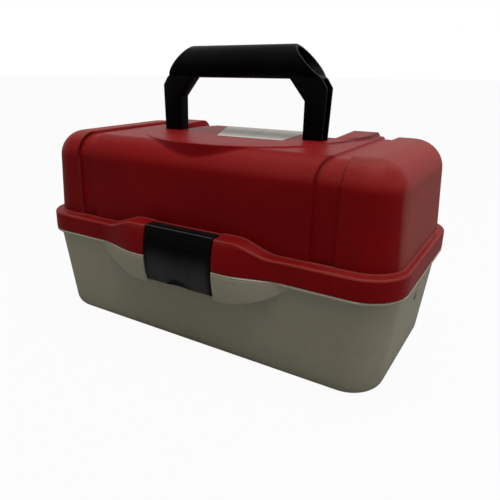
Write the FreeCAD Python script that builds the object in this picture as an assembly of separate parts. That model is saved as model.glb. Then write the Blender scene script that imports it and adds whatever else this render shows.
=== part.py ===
"""Portable tackle box: a beige tub, a domed red lid on a rear hinge, a black snap latch, a folding carry
handle, and one cantilever tray that the lid lifts up and back as it opens.

Frame: origin at the centre of the tub's underside, +X to the box's right, +Y to the rear, +Z up. Millimetres.
"""
import FreeCAD, Part
import math
import os

Vec = FreeCAD.Vector

# ---------------------------------------------------------------- driving dimensions (mm)
# tub
TUB_TOP_HALF_X = 161.0
TUB_TOP_HALF_Y = 83.0
TUB_TOP_CORNER = 30.0
TUB_DRAFT_X = 8.1           # the foot is this much shorter at each end than the top
TUB_DRAFT_Y = 9.1
TUB_CORNER_DRAFT = 3.6      # and its corners are this much tighter
TUB_HEIGHT = 80.0           # up to the underside of the rim flange
TUB_BOTTOM_ROUND = 10.0
TUB_WALL = 2.4
FLANGE_THICK = 2.0
FLANGE_INSET = 0.4          # the flange's edge stands this far inside the lip's
UPSTAND_HEIGHT = 7.0        # tongue above the flange, inside the lid's lip
UPSTAND_INSET = 0.6
UPSTAND_WALL = 2.0
# lid
PARTING_GAP = 0.3           # between the tub's flange and the lid's lip
LIP_OVERHANG_X = 4.0        # of the lip over the tub's top
LIP_OVERHANG_Y = 3.0
LIP_CORNER_GROWTH = 1.6
LIP_HEIGHT = 15.9
LIP_ROUND = 3.0
LID_WALL = 2.2
DOME_INSET_X = 5.2          # from the lip's edge to the dome's foot
DOME_INSET_Y = 9.0
DOME_CORNER_INSET = 5.6
DOME_DRAFT_X = 3.9          # the dome's top is this much shorter at each end than its foot
DOME_ROUND = 22.0
DOME_SINK = 3.0             # the dome's foot runs this far down into the lip
DOME_HEIGHT = 72.8          # from the lip's top to the top of the end caps
END_CAP_LENGTH = 36.4
GROOVE_WIDTH = 16.0
GROOVE_DEPTH = 2.6
CENTRE_DROP = 0.8           # the centre section is this much lower than the end caps
# raised deck on top of the lid
DECK_RISE = 0.2             # above the end caps
DECK_FRONT_RADIUS = 93.4
DECK_FRONT_INSET = 4.5      # from the dome's front to the deck's foremost point
DECK_REAR_INSET = 4.0
DECK_GROOVE_GAP = 4.5       # between the deck's rear corners and the grooves
DECK_DEPTH = 41.0           # how far the deck's solid reaches down inside the dome
SHOULDER_RISE = 2.0         # of the side plateaus that flank the handle's recess
SHOULDER_RISE_FROM_Y = -35.0
SHOULDER_RISE_TO_Y = 0.0
RECESS_DROP = 1.8           # from the deck's top down to the recess floor
RECESS_WELL_MARGIN = 2.5    # the recess is this much wider than the wells, on each side
RECESS_SLOPE_FROM_Y = 8.0
RECESS_SLOPE_TO_Y = 34.0
# latch bulge on the lid's lip and the tub's front
BULGE_RADIUS = 73.6
BULGE_PROUD = 9.3           # how far the bulge stands out from the lip
BULGE_MID_RISE = 0.4        # of the middle of the bulge's round above the lip's lower edge
BULGE_FLAT_HALF_X = 42.0
BULGE_END_X = 88.0
BULGE_RISE = 8.3            # of the shoulder over the latch, above the lip's top
BULGE_TOP_FLAT_HALF_X = 46.0
BULGE_TOP_END_X = 79.0
LENS_END_X = 99.0
LENS_DROP = 23.0            # from the underside of the flange down to the lens's lowest point
LENS_BOTTOM_FLAT_HALF_X = 33.0
LENS_BOTTOM_RADIUS = 91.0
# latch
LATCH_HALF_X = 31.9
LATCH_SIDE_GAP = 1.0
POCKET_RIM = 1.8            # strip of the shoulder left standing between the latch's pocket and the dome
LATCH_RISE = 0.8            # of the latch's top above the shoulder
LATCH_FOOT_GAP = 3.5        # between the lens's lowest point and the latch's bottom
LATCH_THICK = 2.6
LATCH_ROOF_THICK = 1.8
LATCH_WEB_THICK = 2.4
LATCH_PIN_DROP = 4.1        # from the latch's top down to its pin
LATCH_PIN_RADIUS = 1.5
LATCH_PIN_SEAT = 4.0        # how far the pin runs into the lid on each side of the latch
LATCH_BARREL_RADIUS = 3.3
LATCH_HOOK_HALF_X = 25.5
LATCH_HOOK_RISE = 5.5       # from the latch's bottom up to the hook's top face
LATCH_HOOK_THICK = 2.4
LATCH_HOOK_REACH = 3.2      # how far the hook passes behind the catch's front edge
CATCH_THICK = 3.0
CATCH_REACH = 5.6           # from the tub's face to the catch's front edge
CATCH_GAP = 0.4             # between the latch's hook and the catch above it
NOTCH_HALF_X = 10.0
NOTCH_HEIGHT = 3.6
# lid hinge
HINGE_KNUCKLE_RADIUS = 4.5
HINGE_PIN_RADIUS = 1.6
HINGE_END_INSET = 51.0      # from the end of the tub's top to the middle of a hinge
HINGE_KNUCKLE_LENGTH = 13.4
HINGE_OUTER_LENGTH = 7.5    # each of the tub's two knuckles beside the lid's one
HINGE_END_GAP = 0.3
HINGE_REAR_GAP = 0.3        # between a knuckle and the lid's lip
HINGE_LUG_DROP = 12.0       # how far a lug runs down the tub's wall, or up the lip
# handle
HANDLE_LEG_OUTER_X = 76.6
HANDLE_LEG_WIDTH = 16.1
HANDLE_LEG_DEPTH = 13.6
HANDLE_Y = 1.0
HANDLE_WALL = 2.4
HANDLE_PIVOT_DROP = 4.7     # from the deck's top down to the pivot
HANDLE_PIN_RADIUS = 2.0
CHANNEL_START = 9.0         # from the pivot up to the foot of each leg's open channel
GRIP_RADIUS = 13.05
GRIP_WALL = 2.4
GRIP_HEIGHT = 63.5          # from the pivot up to the grip's axis
GRIP_TOP_HALF_X = 44.6
GRIP_SINK = 1.2             # the arch's underside lies this far inside the grip's wall
OUTER_CHAMFER_DROP = 19.5   # from the grip's axis down to where the legs' outer corners are cut off
INNER_CHAMFER_DROP = 29.4
INNER_CHAMFER_TOP_X = 46.3
HANDLE_SIDE_GAP = 0.9
HANDLE_END_GAP = 0.8
HANDLE_FOLD_DEG = 74.0
# tray and its linkage
TRAY_FRONT_GAP = 11.0       # from the tub's top edge back to the tray's front
TRAY_REAR_MARGIN = 16.7     # of the tray behind its link pivot
TRAY_SINK = 18.0            # from the underside of the tub's flange down to the tray's bottom
TRAY_HEIGHT = 30.0
TRAY_WALL = 1.8
TRAY_CORNER = 14.0
TRAY_ROW_PITCH = 38.0
TRAY_ROW_WALL = 1.6
TRAY_ROW_WALL_DROP = 3.0    # the inner walls end this far below the tray's rim
TRAY_PAD_THICK = 4.0        # thickened round pad behind each front pivot
TRAY_EAR_THICK = 3.0
TRAY_EAR_DROP = 8.0         # how far an ear's foot runs down the tray's end wall
DIVIDER_THICK = 1.4
DIVIDER_GAP = 0.15
GUIDE_RIB = 1.2
TRAY_PIVOT_INSET = 18.5     # from the tray's front back to its front pivot
TUB_PIVOT_DROP = 22.5       # from the underside of the tub's flange down to the tub's pivot
ARM_REACH_Y = -57.5         # from the tub's pivot to the tray's front pivot
ARM_RISE_Z = 13.0
ARM_WIDTH = 12.0
ARM_THICK = 2.0
ARM_WALL_GAP = 1.6          # between an arm and the face of the lid's bracket pad
LINK_SIDE_GAP = 0.2
RIVET_RADIUS = 2.5
RIVET_HEAD_RADIUS = 4.2
RIVET_HEAD_THICK = 1.4
BOSS_RADIUS = 7.0
OUTER_HEAD_RADIUS = 3.25    # the head that shows on the tub's end wall
OUTER_HEAD_THICK = 1.0
HEAD_SEAT_GAP = 0.5         # round the outer head, in its flat seat
HEAD_SEAT_DEPTH = 0.3       # of the seat at its shallowest side
RUNNING_GAP = 0.06          # radial clearance of every running fit
OPEN_PIVOT_GAP = 0.25       # radial clearance at the pivot between tray and lid
BRACKET_WIDTH = 12.0
BRACKET_THICK = 2.0
BRACKET_BEND_RISE = 4.8     # above the lip's top
BRACKET_LENGTH = 18.0
BRACKET_PAD_THICK = 1.3     # of the lid's pad inside the dome's end wall
BRACKET_PAD_MARGIN = 2.0    # the lid's pad is this much larger than the bracket's flange
BRACKET_RIVET_DEPTH = 2.2
BRACKET_RIVET_RADIUS = 1.6
BRACKET_RIVET_HEAD_THICK = 1.2
BRACKET_RIVET_PITCH = 7.6
SPACER_THICK = 1.0
SPACER_RADIUS = 5.5
# label
LABEL_SIZE_X = 66.0
LABEL_SIZE_Y = 64.0
LABEL_THICK = 0.25
LABEL_CENTRE_X = 5.0
LABEL_CENTRE_Y = 17.0
LABEL_TURN_DEG = 9.0
# construction
OVERSHOOT = 5.0             # cutting tools run this far past what they cut
JOIN = 0.5                  # added pieces run this far into what they join
LOFT_TWIST = 0.01           # keeps the dome's two outlines from being parallel, which the fillet needs

# ---------------------------------------------------------------- worked-out places
TUB_FOOT_HALF_X = TUB_TOP_HALF_X - TUB_DRAFT_X
TUB_FOOT_HALF_Y = TUB_TOP_HALF_Y - TUB_DRAFT_Y
TUB_FOOT_CORNER = TUB_TOP_CORNER - TUB_CORNER_DRAFT
FLANGE_TOP = TUB_HEIGHT + FLANGE_THICK
UPSTAND_TOP = FLANGE_TOP + UPSTAND_HEIGHT
LIP_HALF_X = TUB_TOP_HALF_X + LIP_OVERHANG_X
LIP_HALF_Y = TUB_TOP_HALF_Y + LIP_OVERHANG_Y
LIP_CORNER = TUB_TOP_CORNER + LIP_CORNER_GROWTH
LIP_BOTTOM = FLANGE_TOP + PARTING_GAP
LIP_TOP = LIP_BOTTOM + LIP_HEIGHT
DOME_FOOT_HALF_X = LIP_HALF_X - DOME_INSET_X
DOME_TOP_HALF_X = DOME_FOOT_HALF_X - DOME_DRAFT_X
DOME_HALF_Y = LIP_HALF_Y - DOME_INSET_Y
DOME_CORNER = LIP_CORNER - DOME_CORNER_INSET
LID_TOP = LIP_TOP + DOME_HEIGHT
GROOVE_OUTER_X = DOME_TOP_HALF_X - END_CAP_LENGTH
GROOVE_INNER_X = GROOVE_OUTER_X - GROOVE_WIDTH
DECK_TOP = LID_TOP + DECK_RISE
DECK_ROOT_Z = LID_TOP - DECK_DEPTH
DECK_FRONT_Y = DECK_FRONT_INSET - DOME_HALF_Y
DECK_REAR_Y = DOME_HALF_Y - DECK_REAR_INSET
DECK_REAR_HALF_X = GROOVE_INNER_X - DECK_GROOVE_GAP
SHOULDER_TOP = DECK_TOP + SHOULDER_RISE
RECESS_FLOOR = DECK_TOP - RECESS_DROP
BULGE_FRONT_Y = -LIP_HALF_Y - BULGE_PROUD
BULGE_MID_Z = LIP_BOTTOM + BULGE_MID_RISE
BULGE_TOP = LIP_TOP + BULGE_RISE
BULGE_ROOT_Y = -DOME_HALF_Y + LID_WALL + JOIN
BULGE_REACH_X = LENS_END_X + OVERSHOOT
LENS_BOTTOM = TUB_HEIGHT - LENS_DROP
POCKET_HALF_X = LATCH_HALF_X + LATCH_SIDE_GAP
LATCH_TOP = BULGE_TOP + LATCH_RISE
LATCH_BOTTOM = LENS_BOTTOM + LATCH_FOOT_GAP
LATCH_PIN_Y = -LIP_HALF_Y
LATCH_PIN_Z = LATCH_TOP - LATCH_PIN_DROP
LATCH_HOOK_TOP = LATCH_BOTTOM + LATCH_HOOK_RISE
HINGE_CENTRE_X = TUB_TOP_HALF_X - HINGE_END_INSET
HINGE_AXIS_Y = LIP_HALF_Y + HINGE_REAR_GAP + HINGE_KNUCKLE_RADIUS
HINGE_AXIS_Z = LIP_BOTTOM
HANDLE_LEG_INNER_X = HANDLE_LEG_OUTER_X - HANDLE_LEG_WIDTH
HANDLE_PIVOT_Z = DECK_TOP - HANDLE_PIVOT_DROP
GRIP_AXIS_Z = HANDLE_PIVOT_Z + GRIP_HEIGHT
GRIP_TOP_Z = GRIP_AXIS_Z + GRIP_RADIUS
OUTER_CHAMFER_Z = GRIP_AXIS_Z - OUTER_CHAMFER_DROP
INNER_CHAMFER_Z = GRIP_AXIS_Z - INNER_CHAMFER_DROP
WELL_INNER_X = HANDLE_LEG_INNER_X - HANDLE_SIDE_GAP
WELL_OUTER_X = HANDLE_LEG_OUTER_X + HANDLE_SIDE_GAP
DECK_TIP_X = WELL_OUTER_X
RECESS_HALF_X = WELL_OUTER_X + RECESS_WELL_MARGIN
BRACKET_PAD_X = DOME_TOP_HALF_X - BRACKET_PAD_THICK
BRACKET_FLANGE_X = BRACKET_PAD_X - BRACKET_THICK
BRACKET_BEND_Z = LIP_TOP + BRACKET_BEND_RISE
BRACKET_TOP_Z = BRACKET_BEND_Z + BRACKET_LENGTH
ARM_OUTER_X = BRACKET_PAD_X - ARM_WALL_GAP
ARM_INNER_X = ARM_OUTER_X - ARM_THICK
BOSS_FACE_X = ARM_OUTER_X + SPACER_THICK + LINK_SIDE_GAP
TRAY_HALF_X = ARM_INNER_X - RIVET_HEAD_THICK
TRAY_FRONT_Y = TRAY_FRONT_GAP - TUB_TOP_HALF_Y
TRAY_BOTTOM_Z = TUB_HEIGHT - TRAY_SINK
TRAY_TOP_Z = TRAY_BOTTOM_Z + TRAY_HEIGHT
TRAY_FLOOR_Z = TRAY_BOTTOM_Z + TRAY_WALL
ROW_WALL_TOP_Z = TRAY_TOP_Z - TRAY_ROW_WALL_DROP
TRAY_ROW_WALLS_Y = (TRAY_FRONT_Y + TRAY_ROW_PITCH, TRAY_FRONT_Y + 2 * TRAY_ROW_PITCH)
WIDE_COLUMN_X = TRAY_HALF_X / 2        # dividers of the four- and three-compartment rows
NARROW_COLUMN_X = TRAY_HALF_X / 3      # dividers of the middle row
TRAY_PIVOT = (TRAY_FRONT_Y + TRAY_PIVOT_INSET, TUB_HEIGHT - TUB_PIVOT_DROP + ARM_RISE_Z)
TUB_PIVOT = (TRAY_PIVOT[0] - ARM_REACH_Y, TRAY_PIVOT[1] - ARM_RISE_Z)
LINK_PIVOT = (HINGE_AXIS_Y + ARM_REACH_Y, HINGE_AXIS_Z + ARM_RISE_Z)
TRAY_REAR_Y = LINK_PIVOT[0] + TRAY_REAR_MARGIN


# ---------------------------------------------------------------- small builders
def arc3(a, b, c):
    return Part.Arc(Vec(*a), Vec(*b), Vec(*c)).toShape()


def rounded_outline(half_x, half_y, corner, z):
    """Closed wire: a rectangle with round corners, centred on the Z axis, at height z."""
    x, y, r = half_x, half_y, corner
    k = r * (1 - math.sqrt(0.5))
    edges = [
        Part.LineSegment(Vec(-x + r, -y, z), Vec(x - r, -y, z)).toShape(),
        arc3((x - r, -y, z), (x - k, -y + k, z), (x, -y + r, z)),
        Part.LineSegment(Vec(x, -y + r, z), Vec(x, y - r, z)).toShape(),
        arc3((x, y - r, z), (x - k, y - k, z), (x - r, y, z)),
        Part.LineSegment(Vec(x - r, y, z), Vec(-x + r, y, z)).toShape(),
        arc3((-x + r, y, z), (-x + k, y - k, z), (-x, y - r, z)),
        Part.LineSegment(Vec(-x, y - r, z), Vec(-x, -y + r, z)).toShape(),
        arc3((-x, -y + r, z), (-x + k, -y + k, z), (-x + r, -y, z)),
    ]
    return Part.Wire(edges)


def rounded_prism(half_x, half_y, corner, z0, z1):
    return Part.Face(rounded_outline(half_x, half_y, corner, z0)).extrude(Vec(0, 0, z1 - z0))


def box(x0, x1, y0, y1, z0, z1):
    return Part.makeBox(x1 - x0, y1 - y0, z1 - z0, Vec(x0, y0, z0))


def rod_x(radius, x0, x1, y, z):
    """Round bar along X between x0 and x1."""
    return Part.makeCylinder(radius, x1 - x0, Vec(x0, y, z), Vec(1, 0, 0))


def prism_x(points, x0, x1):
    """Polygon of (y, z) points carried along X."""
    wire = Part.makePolygon([Vec(x0, y, z) for y, z in points + points[:1]])
    return Part.Face(wire).extrude(Vec(x1 - x0, 0, 0))


def mirrored(shape):
    return shape.mirror(Vec(0, 0, 0), Vec(1, 0, 0))


def both_sides(shape):
    return shape.fuse(mirrored(shape))


def fuse_all(first, others):
    return first.multiFuse(others).removeSplitter()


def edges_at_height(shape, z, tolerance=1e-4):
    found = []
    for edge in shape.Edges:
        bounds = edge.BoundBox
        if abs(bounds.ZMin - z) < tolerance and abs(bounds.ZMax - z) < tolerance:
            found.append(edge)
    return found


# ---------------------------------------------------------------- latch bulge
def smooth_curve(points):
    """Spline through the points, level at both ends."""
    curve = Part.BSplineCurve()
    flat = Vec(points[1][0] - points[0][0], 0, 0)
    curve.interpolate(Points=[Vec(*p) for p in points],
                      InitialTangent=flat.normalize(), FinalTangent=flat)
    return curve.toShape()


def bulge_plan(offset, end_x, end_y, z0, z1):
    """Plan of the bulge: level front, then an S-curve back to (end_x, end_y), down to the root behind."""
    front, face = BULGE_FRONT_Y + offset, end_y + offset
    flat, end, far = BULGE_FLAT_HALF_X - offset, end_x - offset, BULGE_REACH_X
    mid, mid_y = 0.5 * (flat + end), 0.5 * (front + face)
    left = smooth_curve([(-end, face, z0), (-mid, mid_y, z0), (-flat, front, z0)])
    line = Part.LineSegment(Vec(-flat, front, z0), Vec(flat, front, z0)).toShape()
    right = smooth_curve([(flat, front, z0), (mid, mid_y, z0), (end, face, z0)])
    rest = Part.makePolygon([Vec(end, face, z0), Vec(far, face, z0), Vec(far, BULGE_ROOT_Y, z0),
                             Vec(-far, BULGE_ROOT_Y, z0), Vec(-far, face, z0), Vec(-end, face, z0)])
    return Part.Face(Part.Wire([left, line, right] + rest.Edges)).extrude(Vec(0, 0, z1 - z0))


def barrel_y(radius, z):
    """Front of a round bar about the bulge's axis, at height z."""
    return BULGE_FRONT_Y + BULGE_RADIUS - math.sqrt(radius ** 2 - (z - BULGE_MID_Z) ** 2)


def bulge_barrel(offset):
    """Round bar along X whose front is the bulge's convex profile."""
    return rod_x(BULGE_RADIUS - offset, -BULGE_REACH_X - OVERSHOOT, BULGE_REACH_X + OVERSHOOT,
                 BULGE_FRONT_Y + BULGE_RADIUS, BULGE_MID_Z)


def shoulder_front(offset):
    """Front view of the lid's raised shoulder: level over the latch, then an S-curve down to the lip."""
    y0, y1 = BULGE_FRONT_Y - OVERSHOOT, BULGE_ROOT_Y + OVERSHOOT
    high, low, base = BULGE_TOP - offset, LIP_TOP - offset, LIP_BOTTOM
    flat, end, far = BULGE_TOP_FLAT_HALF_X - offset, BULGE_TOP_END_X - offset, BULGE_REACH_X
    mid, mid_z = 0.5 * (flat + end), 0.5 * (high + low)
    left = smooth_curve([(-end, y0, low), (-mid, y0, mid_z), (-flat, y0, high)])
    line = Part.LineSegment(Vec(-flat, y0, high), Vec(flat, y0, high)).toShape()
    right = smooth_curve([(flat, y0, high), (mid, y0, mid_z), (end, y0, low)])
    rest = Part.makePolygon([Vec(end, y0, low), Vec(far, y0, low), Vec(far, y0, base), Vec(-far, y0, base),
                             Vec(-far, y0, low), Vec(-end, y0, low)])
    return Part.Face(Part.Wire([left, line, right] + rest.Edges)).extrude(Vec(0, y1 - y0, 0))


def lens_front():
    """Front view of the lens on the tub: level under the latch, and an arc up to the rim on each side."""
    y0, y1 = BULGE_FRONT_Y - OVERSHOOT, BULGE_ROOT_Y + OVERSHOOT
    flat, r = LENS_BOTTOM_FLAT_HALF_X, LENS_BOTTOM_RADIUS
    turn = math.acos(1 - (FLANGE_TOP - LENS_BOTTOM) / r)

    def on_arc(angle, side):
        return (side * (flat + r * math.sin(angle)), y0, LENS_BOTTOM + r * (1 - math.cos(angle)))

    edges = [
        arc3(on_arc(turn, -1), on_arc(0.5 * turn, -1), on_arc(0, -1)),
        Part.LineSegment(Vec(*on_arc(0, -1)), Vec(*on_arc(0, 1))).toShape(),
        arc3(on_arc(0, 1), on_arc(0.5 * turn, 1), on_arc(turn, 1)),
        Part.LineSegment(Vec(*on_arc(turn, 1)), Vec(*on_arc(turn, -1))).toShape(),
    ]
    return Part.Face(Part.Wire(edges)).extrude(Vec(0, y1 - y0, 0))


def lid_shoulder(offset):
    """The lid's share of the bulge, around the latch's pocket."""
    plan = bulge_plan(offset, BULGE_END_X, -LIP_HALF_Y, LIP_BOTTOM - OVERSHOOT, BULGE_TOP + OVERSHOOT)
    return plan.common(bulge_barrel(offset)).common(shoulder_front(offset))


def tub_lens():
    """The tub's share of the bulge, under the rim, open in the middle for the latch."""
    plan = bulge_plan(0, LENS_END_X, -TUB_TOP_HALF_Y + JOIN, LENS_BOTTOM - OVERSHOOT, FLANGE_TOP)
    lens = plan.common(bulge_barrel(0)).common(lens_front())
    pocket = box(-POCKET_HALF_X, POCKET_HALF_X, BULGE_FRONT_Y - OVERSHOOT, BULGE_ROOT_Y + OVERSHOOT,
                 LENS_BOTTOM - OVERSHOOT, FLANGE_TOP + OVERSHOOT)
    return lens.cut(pocket)


# ---------------------------------------------------------------- tub
def tub_form(inset, floor):
    """Tapered tub shape, drawn in by inset on the sides and standing on floor."""
    foot = rounded_outline(TUB_FOOT_HALF_X - inset, TUB_FOOT_HALF_Y - inset, TUB_FOOT_CORNER - inset, floor)
    top = rounded_outline(TUB_TOP_HALF_X - inset, TUB_TOP_HALF_Y - inset, TUB_TOP_CORNER - inset, TUB_HEIGHT)
    form = Part.makeLoft([foot, top], True, True)
    return form.makeFillet(TUB_BOTTOM_ROUND - inset, edges_at_height(form, floor))


def tub_half_x(z):
    """Half-length of the tub's outside at height z."""
    return TUB_FOOT_HALF_X + (TUB_TOP_HALF_X - TUB_FOOT_HALF_X) * z / TUB_HEIGHT


def head_seat_x():
    """Flat seat of the outer rivet heads, sunk into the sloping end wall."""
    return tub_half_x(TUB_PIVOT[1] - OUTER_HEAD_RADIUS - HEAD_SEAT_GAP) - HEAD_SEAT_DEPTH


def hinge_knuckle(x0, x1):
    return rod_x(HINGE_KNUCKLE_RADIUS, x0, x1, HINGE_AXIS_Y, HINGE_AXIS_Z)


def tub_hinge_lugs():
    """Outer two knuckles of each hinge, each on a lug that runs down to the tub's rear wall."""
    lugs = []
    half = 0.5 * HINGE_KNUCKLE_LENGTH + HINGE_END_GAP
    wall_y = TUB_TOP_HALF_Y - TUB_WALL
    for x0 in (HINGE_CENTRE_X - half - HINGE_OUTER_LENGTH, HINGE_CENTRE_X + half):
        x1 = x0 + HINGE_OUTER_LENGTH
        lug = prism_x([(wall_y, TUB_HEIGHT - HINGE_LUG_DROP),
                       (HINGE_AXIS_Y + HINGE_KNUCKLE_RADIUS, HINGE_AXIS_Z),
                       (HINGE_AXIS_Y - HINGE_KNUCKLE_RADIUS, HINGE_AXIS_Z),
                       (LIP_HALF_Y - FLANGE_INSET, FLANGE_TOP), (wall_y, FLANGE_TOP)], x0, x1)
        lugs += [lug, hinge_knuckle(x0, x1)]
    return lugs


def build_tub():
    outer = tub_form(0, 0)
    flange = rounded_prism(LIP_HALF_X - FLANGE_INSET, LIP_HALF_Y - FLANGE_INSET, LIP_CORNER - FLANGE_INSET,
                           TUB_HEIGHT, FLANGE_TOP)
    upstand = rounded_prism(TUB_TOP_HALF_X - UPSTAND_INSET, TUB_TOP_HALF_Y - UPSTAND_INSET,
                            TUB_TOP_CORNER - UPSTAND_INSET, TUB_HEIGHT, UPSTAND_TOP)
    catch_bottom = LATCH_HOOK_TOP + CATCH_GAP
    catch = box(-POCKET_HALF_X, POCKET_HALF_X, -TUB_TOP_HALF_Y - CATCH_REACH, -TUB_FOOT_HALF_Y,
                catch_bottom, catch_bottom + CATCH_THICK)
    lugs = [both_sides(lug) for lug in tub_hinge_lugs()]
    body = fuse_all(outer, [flange, upstand, tub_lens(), catch] + lugs)
    mouth_inset = UPSTAND_INSET + UPSTAND_WALL
    mouth = rounded_prism(TUB_TOP_HALF_X - mouth_inset, TUB_TOP_HALF_Y - mouth_inset,
                          TUB_TOP_CORNER - mouth_inset, TUB_HEIGHT - JOIN, UPSTAND_TOP + OVERSHOOT)
    body = body.cut(tub_form(TUB_WALL, TUB_WALL)).cut(mouth)
    boss_end = tub_half_x(TUB_PIVOT[1] - BOSS_RADIUS) - JOIN
    body = body.fuse(both_sides(rod_x(BOSS_RADIUS, BOSS_FACE_X, boss_end, *TUB_PIVOT)))
    reach = LIP_HALF_X + OVERSHOOT
    body = body.cut(both_sides(rod_x(OUTER_HEAD_RADIUS + HEAD_SEAT_GAP, head_seat_x(), reach, *TUB_PIVOT)))
    body = body.cut(rod_x(RIVET_RADIUS, -reach, reach, *TUB_PIVOT))
    body = body.cut(rod_x(HINGE_PIN_RADIUS, -reach, reach, HINGE_AXIS_Y, HINGE_AXIS_Z))
    return body.removeSplitter()


# ---------------------------------------------------------------- lid
def dome(inset, drop):
    """Domed top of the lid with round shoulders, drawn in by inset and lowered by drop."""
    lean = (DOME_FOOT_HALF_X - DOME_TOP_HALF_X) / (LID_TOP - LIP_TOP)
    foot = rounded_outline(DOME_FOOT_HALF_X + DOME_SINK * lean - inset, DOME_HALF_Y - inset,
                           DOME_CORNER - inset, LIP_TOP - DOME_SINK)
    top = rounded_outline(DOME_TOP_HALF_X - inset, DOME_HALF_Y - inset, DOME_CORNER - inset - LOFT_TWIST,
                          LID_TOP - drop)
    form = Part.makeLoft([foot, top], True, True)
    return form.makeFillet(DOME_ROUND - inset, edges_at_height(form, LID_TOP - drop))


def grooved_dome(inset):
    """The dome with a groove over top, front and back on each side, and its lower centre section."""
    reach = DOME_HALF_Y + OVERSHOOT
    whole = dome(inset, inset)
    caps_x = GROOVE_OUTER_X + inset
    caps = whole.cut(box(-caps_x, caps_x, -reach, reach, 0, LID_TOP + OVERSHOOT))
    centre_x = GROOVE_INNER_X - inset
    centre = whole.common(box(-centre_x, centre_x, -reach, reach, 0, LID_TOP - CENTRE_DROP - inset))
    core = dome(inset + GROOVE_DEPTH, inset + GROOVE_DEPTH)
    return fuse_all(core, [caps, centre])


def deck_plan():
    """Plan of the raised deck: round front, straight sides that spread to the rear."""
    r, z0 = DECK_FRONT_RADIUS, DECK_ROOT_Z
    tip_y = DECK_FRONT_Y + r - math.sqrt(r * r - DECK_TIP_X * DECK_TIP_X)
    front = arc3((-DECK_TIP_X, tip_y, z0), (0, DECK_FRONT_Y, z0), (DECK_TIP_X, tip_y, z0))
    rest = Part.makePolygon([Vec(DECK_TIP_X, tip_y, z0), Vec(DECK_REAR_HALF_X, DECK_REAR_Y, z0),
                             Vec(-DECK_REAR_HALF_X, DECK_REAR_Y, z0), Vec(-DECK_TIP_X, tip_y, z0)])
    return Part.Face(Part.Wire([front] + rest.Edges)).extrude(Vec(0, 0, SHOULDER_TOP + OVERSHOOT - z0))


def deck_profile(top):
    """Bar along X with the deck's side view: level top, and the dome's round shoulder at the rear."""
    r, x0 = DOME_ROUND, -DECK_REAR_HALF_X - OVERSHOOT
    y0, y1, zc = -DOME_HALF_Y - OVERSHOOT, DOME_HALF_Y, top - r
    k = r * math.sqrt(0.5)
    straight = Part.makePolygon([Vec(x0, y1, zc), Vec(x0, y1, DECK_ROOT_Z), Vec(x0, y0, DECK_ROOT_Z),
                                 Vec(x0, y0, top), Vec(x0, y1 - r, top)])
    shoulder = arc3((x0, y1 - r, top), (x0, y1 - r + k, zc + k), (x0, y1, zc))
    return Part.Face(Part.Wire([shoulder] + straight.Edges)).extrude(Vec(-2 * x0, 0, 0))


def build_deck():
    """Deck with its two side plateaus, which ramp up from the front."""
    high = SHOULDER_TOP + OVERSHOOT
    front, rear = -DOME_HALF_Y - OVERSHOOT, DOME_HALF_Y + OVERSHOOT
    reach = DECK_REAR_HALF_X + OVERSHOOT
    above = prism_x([(front, DECK_TOP), (SHOULDER_RISE_FROM_Y, DECK_TOP), (SHOULDER_RISE_TO_Y, SHOULDER_TOP),
                     (rear, SHOULDER_TOP), (rear, high), (front, high)], -reach, reach)
    return deck_plan().common(deck_profile(SHOULDER_TOP)).cut(above)


def deck_floor():
    """Side view, front to rear, of the level deck and the handle's recess behind it."""
    reach = DOME_HALF_Y + OVERSHOOT
    return [(-reach, DECK_TOP), (RECESS_SLOPE_FROM_Y, DECK_TOP), (RECESS_SLOPE_TO_Y, RECESS_FLOOR),
            (reach, RECESS_FLOOR)]


def recess_cut():
    """Space above the deck's middle that the grip folds back into; its floor follows the rear shoulder."""
    reach, high = DOME_HALF_Y + OVERSHOOT, SHOULDER_TOP + OVERSHOOT
    line = deck_floor()[:-1] + [(RECESS_SLOPE_TO_Y, DECK_ROOT_Z), (reach, DECK_ROOT_Z), (reach, high),
                                (-reach, high)]
    return prism_x(line, -RECESS_HALF_X, RECESS_HALF_X).cut(deck_profile(RECESS_FLOOR))


def well_solid(grow, top, x0, x1):
    """Handle well from x0 to x1: round below the pivot, its floor sloping up behind to height top."""
    y, z = HANDLE_Y, HANDLE_PIVOT_Z
    r = 0.5 * HANDLE_LEG_DEPTH + HANDLE_END_GAP + grow
    slope = math.radians(90 - HANDLE_FOLD_DEG)
    low = (y + r * math.sin(slope), z - r * math.cos(slope))
    end_y = low[0] + (top - low[1]) / math.tan(slope)
    middle = math.pi + 0.5 * (0.5 * math.pi + slope)
    arc = arc3((x0, y - r, z), (x0, y + r * math.cos(middle), z + r * math.sin(middle)), (x0, *low))
    straight = Part.makePolygon([Vec(x0, *low), Vec(x0, end_y, top), Vec(x0, y - r, top), Vec(x0, y - r, z)])
    return Part.Face(Part.Wire([arc] + straight.Edges)).extrude(Vec(x1 - x0, 0, 0))


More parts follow.
